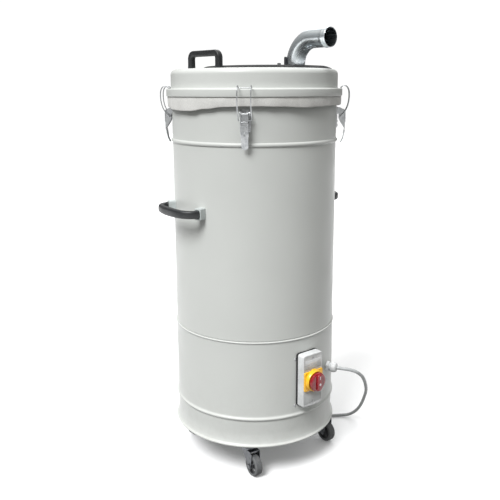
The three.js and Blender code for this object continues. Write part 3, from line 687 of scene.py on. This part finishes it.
def make_bag():
    """The felt bag: a sack inside the drum whose cuff folds over the rim and hangs out in soft waves."""
    def drape(angle, radius, height):
        deg = (degrees(angle) + 180) % 360 - 180
        if height > CUFF_TOP or radius < 230:
            slack = 0.0 if height > CUFF_TOP or radius < 150 else 1.0
            inward = noise.noise(Vector((sin(angle) * 4, cos(angle) * 4, height / 90)))
            return radius + slack * (1.2 * inward - 0.6), height
        share = (CUFF_TOP - height) / (CUFF_TOP - 1015.0)
        hem = hem_height(deg) + 1.0 * noise.noise(Vector((sin(angle) * 9, cos(angle) * 9, 3.3)))
        latch = min(abs((deg - q + 180) % 360 - 180) for q in QUARTERS.values())
        calm = min(1.0, max(0.0, (latch - 3.5) / 7))
        wave = noise.noise(Vector((sin(angle) * 7, cos(angle) * 7, 7.7 + share * 0.4)))
        wave += 0.5 * noise.noise(Vector((sin(angle) * 19, cos(angle) * 19, 1.2 + share * 0.6)))
        out = (0.6 + 3.4 * wave * calm) * share ** 1.3
        return min(radius + out, 244.6), CUFF_TOP - (CUFF_TOP - hem) * share

    outside = [(240.6 - 0.5 * (i / 10) ** 2 + 0.9 * sin(i / 10 * 3.1), CUFF_TOP - 3.15 * i)
               for i in range(11)]
    line = [(0, 502), (60, 502), (130, 503), (185, 504.5), (199, 512), (202.5, 540), (202, 620), (203, 720),
            (202, 820), (203.5, 900), (204.5, 990), (213, 1018), (222, 1040), (226.5, 1050), (231, 1051.8),
            (236.5, 1051.6), (239.6, 1050.0), *outside]
    bag = piece("felt_bag", lathe(line, 240, drape), FELT, stands_for=["filter_bag"], crease=180)
    solidify = bag.modifiers.new("thickness", "SOLIDIFY")
    solidify.thickness, solidify.offset = 0.0022, 0.0
    smooth = bag.modifiers.new("soft", "SUBSURF")
    smooth.levels = smooth.render_levels = 1


# ---------- inlet ----------
def make_inlet():
    bend, rise, reach = 66.0, 8.0, 54.0
    base, start = LID_TOP - 12, LID_TOP + rise
    path = [(0, 0, base), (0, 0, base + 12), (0, 0, start - 4)]
    for i in range(25):
        a = radians(90 * i / 24)
        path.append((0, -bend * (1 - cos(a)), start + bend * sin(a)))
    end = bend + reach
    for out in (20, end - 22, end - 16, end - 13.4, end - 12.2, end - 11, end - 6, end - 0.8, end):
        path.append((0, -max(out, bend + 1) if out > bend else -bend - out, start + bend))
    swell = {-13.4: 0.9, -12.2: 1.25, -11: 0.9, -6: 0.5, -0.8: 0.5, 0: 0.1}
    total = path_length(path)

    def wall(t):
        left = (t - 1) * total
        near = min(swell, key=lambda k: abs(k - left))
        return 1 + (swell[near] / PIPE_R if abs(near - left) < 1.0 else 0.0)

    outer = sweep(oval(PIPE_R - 0.25, PIPE_R - 0.25, 72), path, (1, 0, 0), wall)
    inner = sweep(oval(PIPE_R - 1.5, PIPE_R - 1.5, 72), path, (1, 0, 0))
    count = len(outer[0])
    points = outer[0] + inner[0]
    faces = outer[1][:-2] + [[count + i for i in reversed(f)] for f in inner[1][:-2]]
    for ring in (0, count - 72):
        for k in range(72):
            a, b = ring + k, ring + (k + 1) % 72
            faces.append([a, b, b + count, a + count])
    piece("inlet_tube", (points, faces, outer[2] + inner[2]), TUBE, stands_for=["inlet_bend"],
          deg=PIPE_DEG, at=(*PIPE_AT, 0), crease=50)
    lip = LID_TOP + 0.3
    flange = lathe([
        (PIPE_R + 0.3, lip), (PIPE_R + 12, lip), (PIPE_R + 12, lip + 1.6), (PIPE_R + 11.4, lip + 2.1),
        (PIPE_R + 5, lip + 2.1), *arc(PIPE_R + 5, lip + 4.3, 2.2, 270, 180, 5), (PIPE_R + 2.6, lip + 7),
        (PIPE_R + 2.1, lip + 7.6), (PIPE_R + 0.3, lip + 7.6), (PIPE_R + 0.3, lip),
    ], 96)
    heads = []
    for i in range(4):
        a = radians(45 + 90 * i)
        place = (32.6 * cos(a), 32.6 * sin(a), lip + 2.0)
        heads.append(moved(hexagon_head(3.6, 2.8), place, 11 * i))
    piece("tube_flange", merged(flange, *heads), ZINC, stands_for=["inlet_flange"],
          at=(*PIPE_AT, 0))
    shield_path = []
    for i in range(25):
        a = radians(22 + 136 * i / 24)
        shield_path.append(((PIPE_R + 3.3) * cos(a), (PIPE_R + 3.3) * sin(a), MAT_TOP + 11.2))
    shield = sweep(oval(2.3, 10.7, 20, 5.0), shield_path, (0, 0, 1))
    piece("curved_shield", shield, BLACK, stands_for=["bend_shield"], deg=PIPE_DEG,
          at=(*PIPE_AT, 0))


def path_length(path):
    return sum((Vector(b) - Vector(a)).length for a, b in zip(path, path[1:]))


def make_lid_handle():
    """A bridge handle: two legs on flat feet and a bar, in one bent moulding with a fluted back."""
    half, height, corner, depth = 58.5, 46.0, 13.0, 172.0
    path = [(-half, 0, 0), (-half, 0, 10), (-half, 0, 20)]
    for cx, start in ((-half + corner, 180), (half - corner, 90)):
        for i in range(9):
            a = radians(start - 90 * i / 8)
            path.append((cx + corner * cos(a), 0, height - 7.6 - corner + corner * sin(a)))
    path += [(half, 0, 20), (half, 0, 10), (half, 0, 0)]
    section = [(a * (1.0 - 0.06 * (abs(r) / 8) ** 2), r) for a, r in oval(8.2, 8.0, 36, 5.0)]

    def thicker(t):
        foot = max(0.0, 1 - min(t, 1 - t) / 0.05)
        return 1.0 + 0.06 * foot

    bar = sweep(section, path, (0, 1, 0), thicker)
    lift = LID_TOP + 0.3
    handle = piece("bridge_handle", moved(bar[:2], (0, -depth, lift)), BLACK, stands_for=["lid_handle"],
                   deg=LID_HANDLE_DEG, crease=45)
    grooves = [slab(76, 1.0, 0.3, 7.3, 10, 0.1, 0, 38.4 + dz, 1) for dz in (-3.4, 0, 3.4)]
    cut(handle, *[moved(moved(g, (0, -depth, lift)), deg=LID_HANDLE_DEG) for g in grooves])


# ---------- latches ----------
LEVER_LINE = [(253, 1000.5), (253.6, 975), (253.4, 950), (252, 936), (248.9, 922), (243.2, 910)]
BAIL_LINE = [(240.5, 983), (244, 986.5), (249.5, 992.5), (254.5, 1000), (260, 1012), (263.2, 1026),
             (264.2, 1040), (263.4, 1052), (260.4, 1061), (255, 1066.6), (249, 1067.4), (244.2, 1065),
             (241.5, 1062.3)]


def lever_web():
    """The lever's curved sheet: a grid with a pressed rib, a rounded tip and turned-in edges."""
    line = smooth_path([(d, 0, z) for d, z in LEVER_LINE], 9)
    columns = 16
    outer, inner = [], []
    for i, p in enumerate(line):
        t = i / (len(line) - 1)
        ahead = (line[min(i + 1, len(line) - 1)] - line[max(i - 1, 0)]).normalized()
        normal = Vector((-ahead.z, 0, ahead.x))
        half = 10.0 - 1.6 * min(1.0, max(0.0, (t - 0.45) / 0.3))
        tip = max(0.0, (t - 0.93) / 0.07)
        half *= sqrt(max(0.06, 1 - tip ** 2))
        for k in range(columns + 1):
            u = -1 + 2 * k / columns
            x = half * u
            rib = 1.3 * exp(-(x / 1.4) ** 2) * min(1.0, max(0.0, (t - 0.42) / 0.06)) * (t < 0.95)
            roll = -1.3 * max(0.0, abs(u) - 0.75) / 0.25 * min(1.0, max(0.0, (t - 0.4) / 0.1))
            for store, gap in ((outer, 0.0), (inner, -1.3)):
                q = p + normal * (rib * (gap == 0) + roll + gap)
                store.append((x, -q.x, q.z))
    rows, width = len(line), columns + 1
    faces = []
    offset = len(outer)
    for i in range(rows - 1):
        for k in range(columns):
            a = i * width + k
            faces.append([a, a + 1, a + width + 1, a + width])
            faces.append([offset + a, offset + a + width, offset + a + width + 1, offset + a + 1])
    rim = [*range(width)] + [i * width + columns for i in range(1, rows)]
    rim += [(rows - 1) * width + k for k in range(columns - 1, -1, -1)]
    rim += [i * width for i in range(rows - 2, 0, -1)]
    for a, b in zip(rim, rim[1:] + rim[:1]):
        faces.append([a, offset + a, offset + b, b])
    return outer + inner, faces


def make_latch(name, deg):
    """One toggle latch: base plate with rivets and pressing, lever with flanks, and wire bail."""
    plate = slab(27, 57, 3.0, 230.7, 232.4, 0.5, 0, 981.5, 3)
    strokes = [[(s * 9, -232.5, 1007.5), (s * 4.6, -232.9, 1003.6), (0, -232.6, 998.6)] for s in (-1, 1)]
    chevron = [sweep(oval(0.9, 0.8, 10), stroke) for stroke in strokes]
    ridges = [[(-11.5, -232.6, z), (0, -233.0, z), (11.5, -232.6, z)] for z in (995.5, 958)]
    rail = [sweep(oval(1.0, 0.9, 10), ridge) for ridge in ridges]
    ear = [(231.8, 1008.5), (231.8, 991), (241, 991), (246.4, 993.4), (248.6, 997.4), (248.4, 1001.6),
           (245.6, 1005.2), (239.6, 1008)]
    ears = [side_sheet(ear, 11.9, 13.5), side_sheet(ear, -13.5, -11.9)]
    pin = rod(2.0, (-15, -243, 999.7), (15, -243, 999.7), 20, 0.4)
    rivets = [outward(button_head(3.4, 1.6), (0, -232.3, z)) for z in (960, 970)]
    bodywork = merged(plate, *chevron, *rail, *ears, pin, *rivets)
    piece("latch_base_" + name, bodywork, ZINC, ["latch_plate_" + name], deg)

    web = lever_web()
    flank = [(252.6, 1000.5), (251.4, 1003.2), (247, 1004.4), (240, 1004.2), (237.2, 1000), (236.2, 990),
             (236.2, 978), (241, 968), (246, 960.5), (252.6, 950.5)]
    flanks = [side_sheet(flank, 8.6, 10), side_sheet(flank, -10, -8.6)]
    lugs = [moved(rod(3.4, (x, -240.5, 983), (x + 1.2, -240.5, 983), 18)) for x in (-11.2, 10)]
    frame_line = [(-8.6, -254.2, 999), (8.6, -254.2, 999), (8.9, -254.2, 985), (8.6, -254.2, 968.5),
                  (0, -254.4, 967), (-8.6, -254.2, 968.5), (-8.9, -254.2, 985), (-8.6, -254.2, 999)]
    ring = sweep(oval(1.1, 1.0, 10), frame_line, (0, 1, 0))
    step = sweep(oval(1.3, 0.9, 10), [(-7.6, -254.2, 978), (0, -254.6, 980.6), (7.6, -254.2, 978)])
    dimple = outward(button_head(2.2, 1.1), (0, -253.3, 953))
    lever = piece("latch_handle_" + name, merged(web, *flanks, *lugs, ring[:2], step, dimple), ZINC,
                  ["latch_lever_" + name], body="lever_" + name)
    turn_to(lever, deg)

    right = [(17, -d, z) for d, z in BAIL_LINE]
    left = [(-17, -d, z) for d, z in reversed(BAIL_LINE)]
    y, z = -BAIL_LINE[0][0], BAIL_LINE[0][1]
    wire = [(6, y, z), (14, y, z), *right, (11, -241.2, 1062), (-11, -241.2, 1062), *left,
            (-14, y, z), (-6, y, z)]
    bail = sweep(oval(1.5, 1.5, 14), smooth_path(wire, 5), (0, 1, 0))
    piece("latch_wire_" + name, bail[:2], ZINC, ["latch_bail_" + name], deg, body="bail_" + name)


# ---------- side handles ----------
def make_side_handle(side, middle):
    height = 739.0
    spread = 19.0
    for end, sign in (("a", -1), ("b", 1)):
        foot = slab(22, 31, 3.5, 231, 250, 2.0, 0, height, 4, curve=DRUM_R + 0.3)
        piece(f"handle_block_{side}_{end}", foot, GREY_PLASTIC, [f"side_handle_foot_{side}_{end}"],
              middle + sign * spread)
    half = [(spread, 250.4), (spread, 254), (18.6, 259), (17.2, 266), (15, 272), (11.8, 276.4)]

    def place(deg, r):
        return (r * sin(radians(deg)), -r * cos(radians(deg)), height)

    path = [place(-d, r) for d, r in half]
    path += [(-30, -275.4, height), (0, -276.4, height), (30, -275.4, height)]
    path += [place(d, r) for d, r in reversed(half)]

    def palm(t):
        swell = exp(-(((t - 0.5) / 0.26) ** 2))
        collar = 1.0 if min(t, 1 - t) < 0.02 else 0.0
        return (0.94 + 0.10 * collar + 0.05 * swell, 0.90 + 0.10 * collar + 0.10 * swell)

    grip = sweep(oval(8.4, 11.8, 32, 3.0), smooth_path(path, 5), (0, 0, 1), palm)
    piece("handle_bow_" + side, grip[:2], BLACK, ["side_handle_grip_" + side],
          middle, crease=60)


# ---------- main switch ----------
def make_switch():
    z, face = SWITCH_Z, SWITCH_FACE
    deg = SWITCH_DEG
    piece("switch_seal", slab(71.8, 151.8, 7, 231, 234.6, 0.6, 0, z, 3, curve=231.2), RUBBER,
          ["switch_gasket"], deg)
    box = piece("switch_case", slab(70, 150, 7, 234.9, face, 2.6, 0, z, 6), PALE, ["switch_box"])
    wells = [slab(61, 141, 4, face - 0.8, face + 4, 0.2, 0, z, 2)]
    wells += [rod(3.1, (0, -face + 3.4, z + dz), (0, -face - 4, z + dz), 24)
              for dz in (-COVER_SCREW_DZ, COVER_SCREW_DZ)]
    cut(box, *wells)
    turn_to(box, deg)
    panels = {
        "upper": (60, 12.5, 1.5, 52, PALE), "band": (60, 8.0, 0.8, 41.4, LABEL),
        "strip": (60, 4.6, 0.6, 34.3, LABEL_DARK), "lower": (60, 33, 1.5, -49.8, LABEL),
    }
    for name, (width, height, corner, dz, look) in panels.items():
        sheet = slab(width, height, corner, face - 0.9, face - 0.35, 0.15, 0, z + dz, 2)
        label = piece("switch_label_" + name, sheet, look, ())
        if name in ("upper", "lower"):
            screw_z = z + copysign(COVER_SCREW_DZ, dz)
            cut(label, rod(3.1, (0, -face + 4, screw_z), (0, -face - 4, screw_z), 24))
        turn_to(label, deg)
    for number, dz in enumerate((-COVER_SCREW_DZ, COVER_SCREW_DZ)):
        dome = outward(button_head(2.7, 1.3), (0, -face + 3.2, z + dz))
        head = piece(f"cover_screw_{number}", dome, ZINC, ())
        cut(head, slab(4.4, 0.8, 0.2, face - 3.0, face, 0.1, 0, z + dz, 1))
        turn_to(head, deg)
    plate = slab(66, 55, 4.5, face + 0.3, face + 4.5, 1.2, 0, z, 5)
    collar = outward(lathe([(0, 3), (31, 3), (31, 5.2), (30.2, 8), (29, 13), (28, 14), (27, 14), (26.6, 12.4),
                            (7, 12.2), (0, 12.2)], 96), (0, -face, z))
    padlock = slab(14, 7, 1.5, face + 1, face + 7.6, 0.8, 0, z + 27.6, 3)
    piece("switch_shield", merged(plate, collar, padlock), YELLOW, ["switch_plate"],
          deg)
    back = face + 14.4
    disc = outward(lathe([(0, 0), (24.6, 0), (25.6, 0.8), (26, 2), (26, 6.6), (25.4, 8.4), (23.8, 9.4),
                          (20, 9.7), (0, 9.7)], 96), (0, -back, z))
    knob = piece("rotary_knob", disc, RED, ["switch_knob"], body="knob")
    notches = []
    for i in range(12):
        a = radians(30 * i + 15)
        notches.append(rod(1.7, (27.0 * cos(a), -back + 1, z + 27.0 * sin(a)),
                           (27.0 * cos(a), -back - 12, z + 27.0 * sin(a)), 14))
    cut(knob, *notches)
    turn_to(knob, deg)
    screw = outward(lathe([(0, 0), (3.2, 0), (3.2, 0.5), (0, 0.5)], 24), (0, -back - 15.3, z - 4))
    for name, shape, look, slot in (
        ("grip", slab(15, 47, 6.5, back + 9.2, back + 15.5, 3.0, 0, z, 6), RED, "red_plastic"),
        ("pointer", slab(2.2, 9, 0.8, back + 15.2, back + 15.9, 0.3, 0, z + 14, 2), PALE, "white_plastic"),
        ("screw", screw, ZINC, "zinc"),
    ):
        piece("knob_" + name, shape, look, (), deg, body="knob")


# ---------- gland and cable ----------
def make_gland():
    seat = 231.6
    hexes = lathe([(5.4, 0), (15.4, 0), (15.4, 7), (14.4, 8), (5.4, 8), (5.4, 0)], 6)
    neck = lathe([(5.4, -12), (7.8, -12), (7.8, 0.5), (11, 0.6), (11, 14), (5.4, 14), (5.4, -12)], 40)
    threads = [lathe([(10.8, h + 8.6), (11.6, h + 9.3), (10.8, h + 10.0), (10.8, h + 8.6)], 40)
               for h in (0.0, 1.6, 3.2)]
    body = outward(merged(hexes, neck, *threads), (0, -seat, GLAND_Z))
    piece("gland_seat", body, PALE, ["gland_body"], GLAND_DEG)

    def ribs(angle, radius, height):
        ridge = 0.5 if cos(angle * 12) > 0.0 else 0.0
        return (radius - 0.7 * ridge, height) if radius > 13.2 and height < 23 else (radius, height)

    nut = lathe([(5.35, 14.4), (13.6, 14.4), (14.6, 15.2), (14.6, 22.4), (13.7, 24),
                 *arc(8.0, 24.0, 5.7, 0, 80, 6), (6.2, 30.6), (5.35, 30.6), (5.35, 14.4)], 96, ribs)
    piece("gland_cap", outward(nut, (0, -seat, GLAND_Z)), PALE, ["gland_nut"],
          GLAND_DEG, crease=30)


def cord_line():
    """The cable's centreline: down from the gland, under the rim's edge, round the coil, to the plug."""
    def gland(r):
        a = radians(GLAND_DEG)
        return (r * sin(a), -r * cos(a), GLAND_Z)

    route = [
        gland(222), gland(240), gland(264),
        (264, -102, 278), (285, -104, 276), (304, -96, 265), (320, -74, 242), (331, -36, 203), (336, 2, 166),
        (335, 34, 135), (333, 64, 106), (329, 88, 80), (323, 110, 56), (314, 130, 34), (301, 144, 17),
        (284, 151, 8),
        (264, 151, 5.6), (240, 147, 5.6), (214, 146, 5.6), (188, 153, 5.6), (152, 174, 5.6), (118, 204, 5.6),
        (89, 238, 5.6), (71, 270, 5.6), (COIL_R, 299.4, 5.6),
    ]
    gap, turns = 2 * CORD_R, 11.25
    ways = [COIL_R, 57.0, 47.5]
    slots = [(r, 5.05 + layer * gap) for layer in range(4) for r in (ways if layer % 2 == 0 else ways[::-1])]
    steps = int(turns * 24)
    for i in range(steps + 1):
        turn = i / 24
        now = min(int(turn), 11)
        r, z = slots[now]
        if now < 11:
            nr, nz = slots[now + 1]
            t = min(1.0, max(0.0, (turn - now - 0.62) / 0.38))
            t = t * t * (3 - 2 * t)
            r, z = r + (nr - r) * t, z + (nz - z) * t
        a = 2 * pi * turn
        route.append((r * cos(a), COIL_Y + r * sin(a), z))
    tail = COIL_Y + COIL_R
    route += [(-12, tail, 33.4), (-30, tail, 33.0), (-46, tail, 31), (-62, tail, 26), (-76, tail, 22.3),
              (-90, tail, 21.4)]
    return route


def make_cord():
    route = cord_line()
    curve = bpy.data.curves.new("mains_cable", "CURVE")
    curve.dimensions = "3D"
    curve.bevel_depth = CORD_R * MM
    curve.bevel_resolution = 5
    curve.use_fill_caps = True
    spline = curve.splines.new("POLY")
    line = smooth_path(route, 3)
    spline.points.add(len(line) - 1)
    for point, place in zip(spline.points, line):
        point.co = (*(place * MM), 1.0)
    curve.materials.append(CABLE)
    cable = placed("mains_cable", curve)
    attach(cable, CHASSIS)
    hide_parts("power_cable", "cable_coil")
    plug = make_plug()


def make_plug():
    """A generic two-pin plug lying beside the coil."""
    tail = COIL_Y + COIL_R
    profile = [(0, 0), (7.4, 0), (8.4, 1), (8.8, 6), (10, 9), (9.4, 11), (11.5, 14), (10.6, 16), (13.5, 19),
               (12.4, 21),
               (17.0, 26), (19.4, 31), (20.6, 38), (21, 46), (21, 50), (19.8, 51.6), (17, 52), (0, 52)]
    shell = lathe(profile, 64)
    grips = [moved(slab(20, 1.4, 0.5, 19.6, 21.0, 0.3, 0, 34 + i * 4.2, 1), deg=d)
             for d in (90, 270) for i in range(4)]
    turn = turned(-90, "Y")
    at = Vector((-90.3, tail, 21.4))

    def laid(shape):
        return [tuple(turn @ Vector(p) + at) for p in shape[0]], shape[1]

    body = piece("plug_shell", laid(merged(shell, *grips)), BLACK, ["power_plug"])
    pin = lathe([(0, 50), (2.4, 50), (2.4, 69.5), (1.6, 71), (0, 71)], 24)
    pair = merged(moved(pin, (9.5, 0, 0)), moved(pin, (-9.5, 0, 0)))
    contacts = piece("plug_pins", laid(pair), BRASS, ())
    return body, contacts


# ---------- castors ----------
def make_castor(name):
    ring, deg, trail = CASTORS[name]
    a = radians(deg)
    at = (ring * sin(a), -ring * cos(a), 0)
    upright = slab(56, 56, 7, 90.5, 93, 0.6, 0, 0, 2)
    flat = [(x, z, -y) for x, y, z in upright[0]], upright[1]
    race = lathe([(0, 84.5), (21, 84.5), (22, 85.4), (22.4, 88), (24, 90.6), (0, 90.6)], 64)
    kingpin = lathe([(0, 66.5), (4, 66.5), (4, 70), (5, 70), (5, 86), (0, 86)], 28)
    nut = moved(hexagon_head(8, 3.6), (0, 0, 66.4))
    bolts = [moved(hexagon_head(4.4, 3.0), (sx * 21, sy * 21, 87.4)) for sx in (-1, 1) for sy in (-1, 1)]
    # The castor's steel parts use the darkened zinc, painted shade for the shadow under the drum.
    piece("castor_top_" + name, merged(flat, race, kingpin, nut, *bolts), SHADED_ZINC,
          ["castor_plate_" + name], deg, at)

    fork_body, wheel_body = "fork_" + name, "wheel_" + name
    crown = lathe([(5.6, 72.8), (22.6, 72.8), (24, 74), (24, 78.6), (22.6, 82.4), (19.6, 84.1), (5.6, 84.1),
                   (5.6, 72.8)], 64)
    bridge = [(-15.6, -33), (15.6, -33), (15.6, 3), (10, 9), (-10, 9), (-15.6, 3)]
    walls = [[k, (k + 1) % 6, (k + 1) % 6 + 6, k + 6] for k in range(6)]
    lids = [list(range(6)), list(range(11, 5, -1))]
    deck = [(x, y, z) for z in (70.6, 73.0) for x, y in bridge], [*lids, *walls]
    cheek = [(33, 72.9), (37, 66.5), (36.6, 52), (35.6, 38), (34.6, 28), (32.6, 23.6), (28.6, 21.4),
             (24.6, 22), (21.6, 26), (17, 33), (4, 48), (-8, 61), (-11.6, 67), (-12, 72.9)]
    cheeks = [side_sheet(cheek, 13.3, 15.5), side_sheet(cheek, -15.5, -13.3)]
    fork = piece("castor_yoke_" + name, merged(crown, deck, *cheeks), SHADED_ZINC,
                 ["castor_fork_" + name], trail, at, body=fork_body)
    bevelled(fork, 0.5, 2, 50)
    axle = rod(3.4, (-17.6, -TRAIL, AXLE_Z), (17.6, -TRAIL, AXLE_Z), 20, 0.6)
    ends = [moved(moved(hexagon_head(6.2, 3.2), deg=s * 90, axis="Y"), (s * 15.6, -TRAIL, AXLE_Z))
            for s in (-1, 1)]
    washers = [rod(7.4, (s * 15.55, -TRAIL, AXLE_Z), (s * 16.3, -TRAIL, AXLE_Z), 28) for s in (-1, 1)]
    piece("castor_axle_" + name, merged(axle, *ends, *washers), SHADED_ZINC, (), trail, at,
          body=fork_body)

    half = 10.5
    tread = [(22.4, -half), (26.6, -half), *arc(26.4, -half + 3.4, 3.4, -90, 0, 5)]
    for groove in (-5.4, 0.0, 5.4):
        tread += [(29.9, groove - 1.0), (28.7, groove - 0.5), (28.7, groove + 0.5), (29.9, groove + 1.0)]
    tread += [*arc(26.4, half - 3.4, 3.4, 0, 90, 5), (26.6, half), (22.4, half), (21.6, 0), (22.4, -half)]
    tread = [(min(r, 29.8), z) for r, z in tread]

    def wheel_part(shape):
        return [(z, x - TRAIL, y + AXLE_Z) for x, y, z in shape[0]], shape[1]

    piece("castor_tyre_" + name, wheel_part(lathe(tread, 96)), TYRE,
          ["castor_wheel_" + name], trail, at, body=wheel_body)

    def spokes(angle, radius, height):
        dip = 2.2 * (1 if cos(angle * 5) > 0.25 else 0) if 10 < radius < 20 and abs(height) > 4 else 0.0
        return radius, height - copysign(dip, height)

    face = [(21.4, 9.6), (20.4, 8.4), (18.6, 7.2), (11, 7.2), (9, 7.6), (8.6, 11), (8, 11.8), (4.1, 11.8)]
    near = [(r, -h) for r, h in reversed(face)]
    hub = lathe([*near, (22.3, -9.2), (21.5, 0), (22.3, 9.2), *face, near[0]], 80, spokes)
    piece("castor_hub_" + name, wheel_part(hub), BLACK, (), trail, at, body=wheel_body)


# ---------- what stays as CAD ----------
def finish_inner_nodes():
    looks = {
        "base_plate": COAT, "separation_plate": ZINC, "inlet_grid": ZINC, "fan_housing": ALUMINIUM,
        "impeller": ALUMINIUM, "motor": MOTOR_PAINT, "fan_mount_1": RUBBER, "fan_mount_2": RUBBER,
        "fan_mount_3": RUBBER,
    }
    for name, look in looks.items():
        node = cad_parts[name]
        node.data.materials.clear()
        node.data.materials.append(look)


# ---------- studio ----------
def make_studio():
    scene = bpy.context.scene
    scene.view_settings.view_transform = "Standard"
    scene.view_settings.look = "None"
    mesh = bpy.data.meshes.new("studio_floor")
    ring = [(14 * cos(radians(i * 5)), 14 * sin(radians(i * 5)), 0.0) for i in range(72)]
    mesh.from_pydata(ring, [], [list(range(72))])
    mesh.materials.append(studio_floor())
    floor = placed("studio_floor", mesh)
    floor.visible_diffuse = False

    world = bpy.data.worlds.new("studio")
    scene.world = world
    world.use_nodes = True
    nodes, links = world.node_tree.nodes, world.node_tree.links
    seen = nodes["Background"]
    seen.inputs["Color"].default_value = (1.0, 1.0, 1.0, 1.0)
    seen.inputs["Strength"].default_value = 1.05
    lit = nodes.new("ShaderNodeBackground")
    lit.inputs["Color"].default_value = (1.0, 0.995, 0.975, 1.0)
    # The studio's ceiling is bright overhead and fades to an even wash at the horizon and below.
    heading = nodes.new("ShaderNodeSeparateXYZ")
    links.new(nodes.new("ShaderNodeTexCoord").outputs["Generated"], heading.inputs["Vector"])

    def computed(operation, source, *numbers):
        made = nodes.new("ShaderNodeMath")
        made.operation = operation
        links.new(source, made.inputs[0])
        for socket, number in zip(made.inputs[1:], numbers):
            socket.default_value = number
        return made.outputs[0]

    above = computed("MAXIMUM", heading.outputs["Z"], 0.0)
    ceiling = computed("MULTIPLY_ADD", computed("POWER", above, 2.0), 1.1, 0.22)
    links.new(ceiling, lit.inputs["Strength"])
    path = nodes.new("ShaderNodeLightPath")
    mix = nodes.new("ShaderNodeMixShader")
    links.new(path.outputs["Is Camera Ray"], mix.inputs["Fac"])
    links.new(lit.outputs["Background"], mix.inputs[1])
    links.new(seen.outputs["Background"], mix.inputs[2])
    links.new(mix.outputs["Shader"], nodes["World Output"].inputs["Surface"])

    def sun(name, azimuth, elevation, strength, softness, colour=(1, 1, 1)):
        data = bpy.data.lights.new(name, "SUN")
        data.energy, data.angle, data.color = strength, radians(softness), colour
        light = placed(name, data)
        a, e = radians(azimuth), radians(elevation)
        towards = Vector((sin(a) * cos(e), -cos(a) * cos(e), sin(e)))
        light.rotation_mode = "QUATERNION"
        light.rotation_quaternion = towards.to_track_quat("Z", "Y")

    sun("key_light", -28, 50, 3.5, 26)
    sun("back_light", 178, 40, 0.8, 45, (0.97, 0.985, 1.0))


# ---------- build ----------
make_cord()
make_drum()
make_housing()
make_lid()
make_mat()
make_bag()
make_inlet()
make_lid_handle()
for quarter, facing in QUARTERS.items():
    make_latch(quarter, facing)
    make_castor(quarter)
make_side_handle("left", -50)
make_side_handle("right", 135)
make_switch()
make_gland()
finish_inner_nodes()
make_studio()
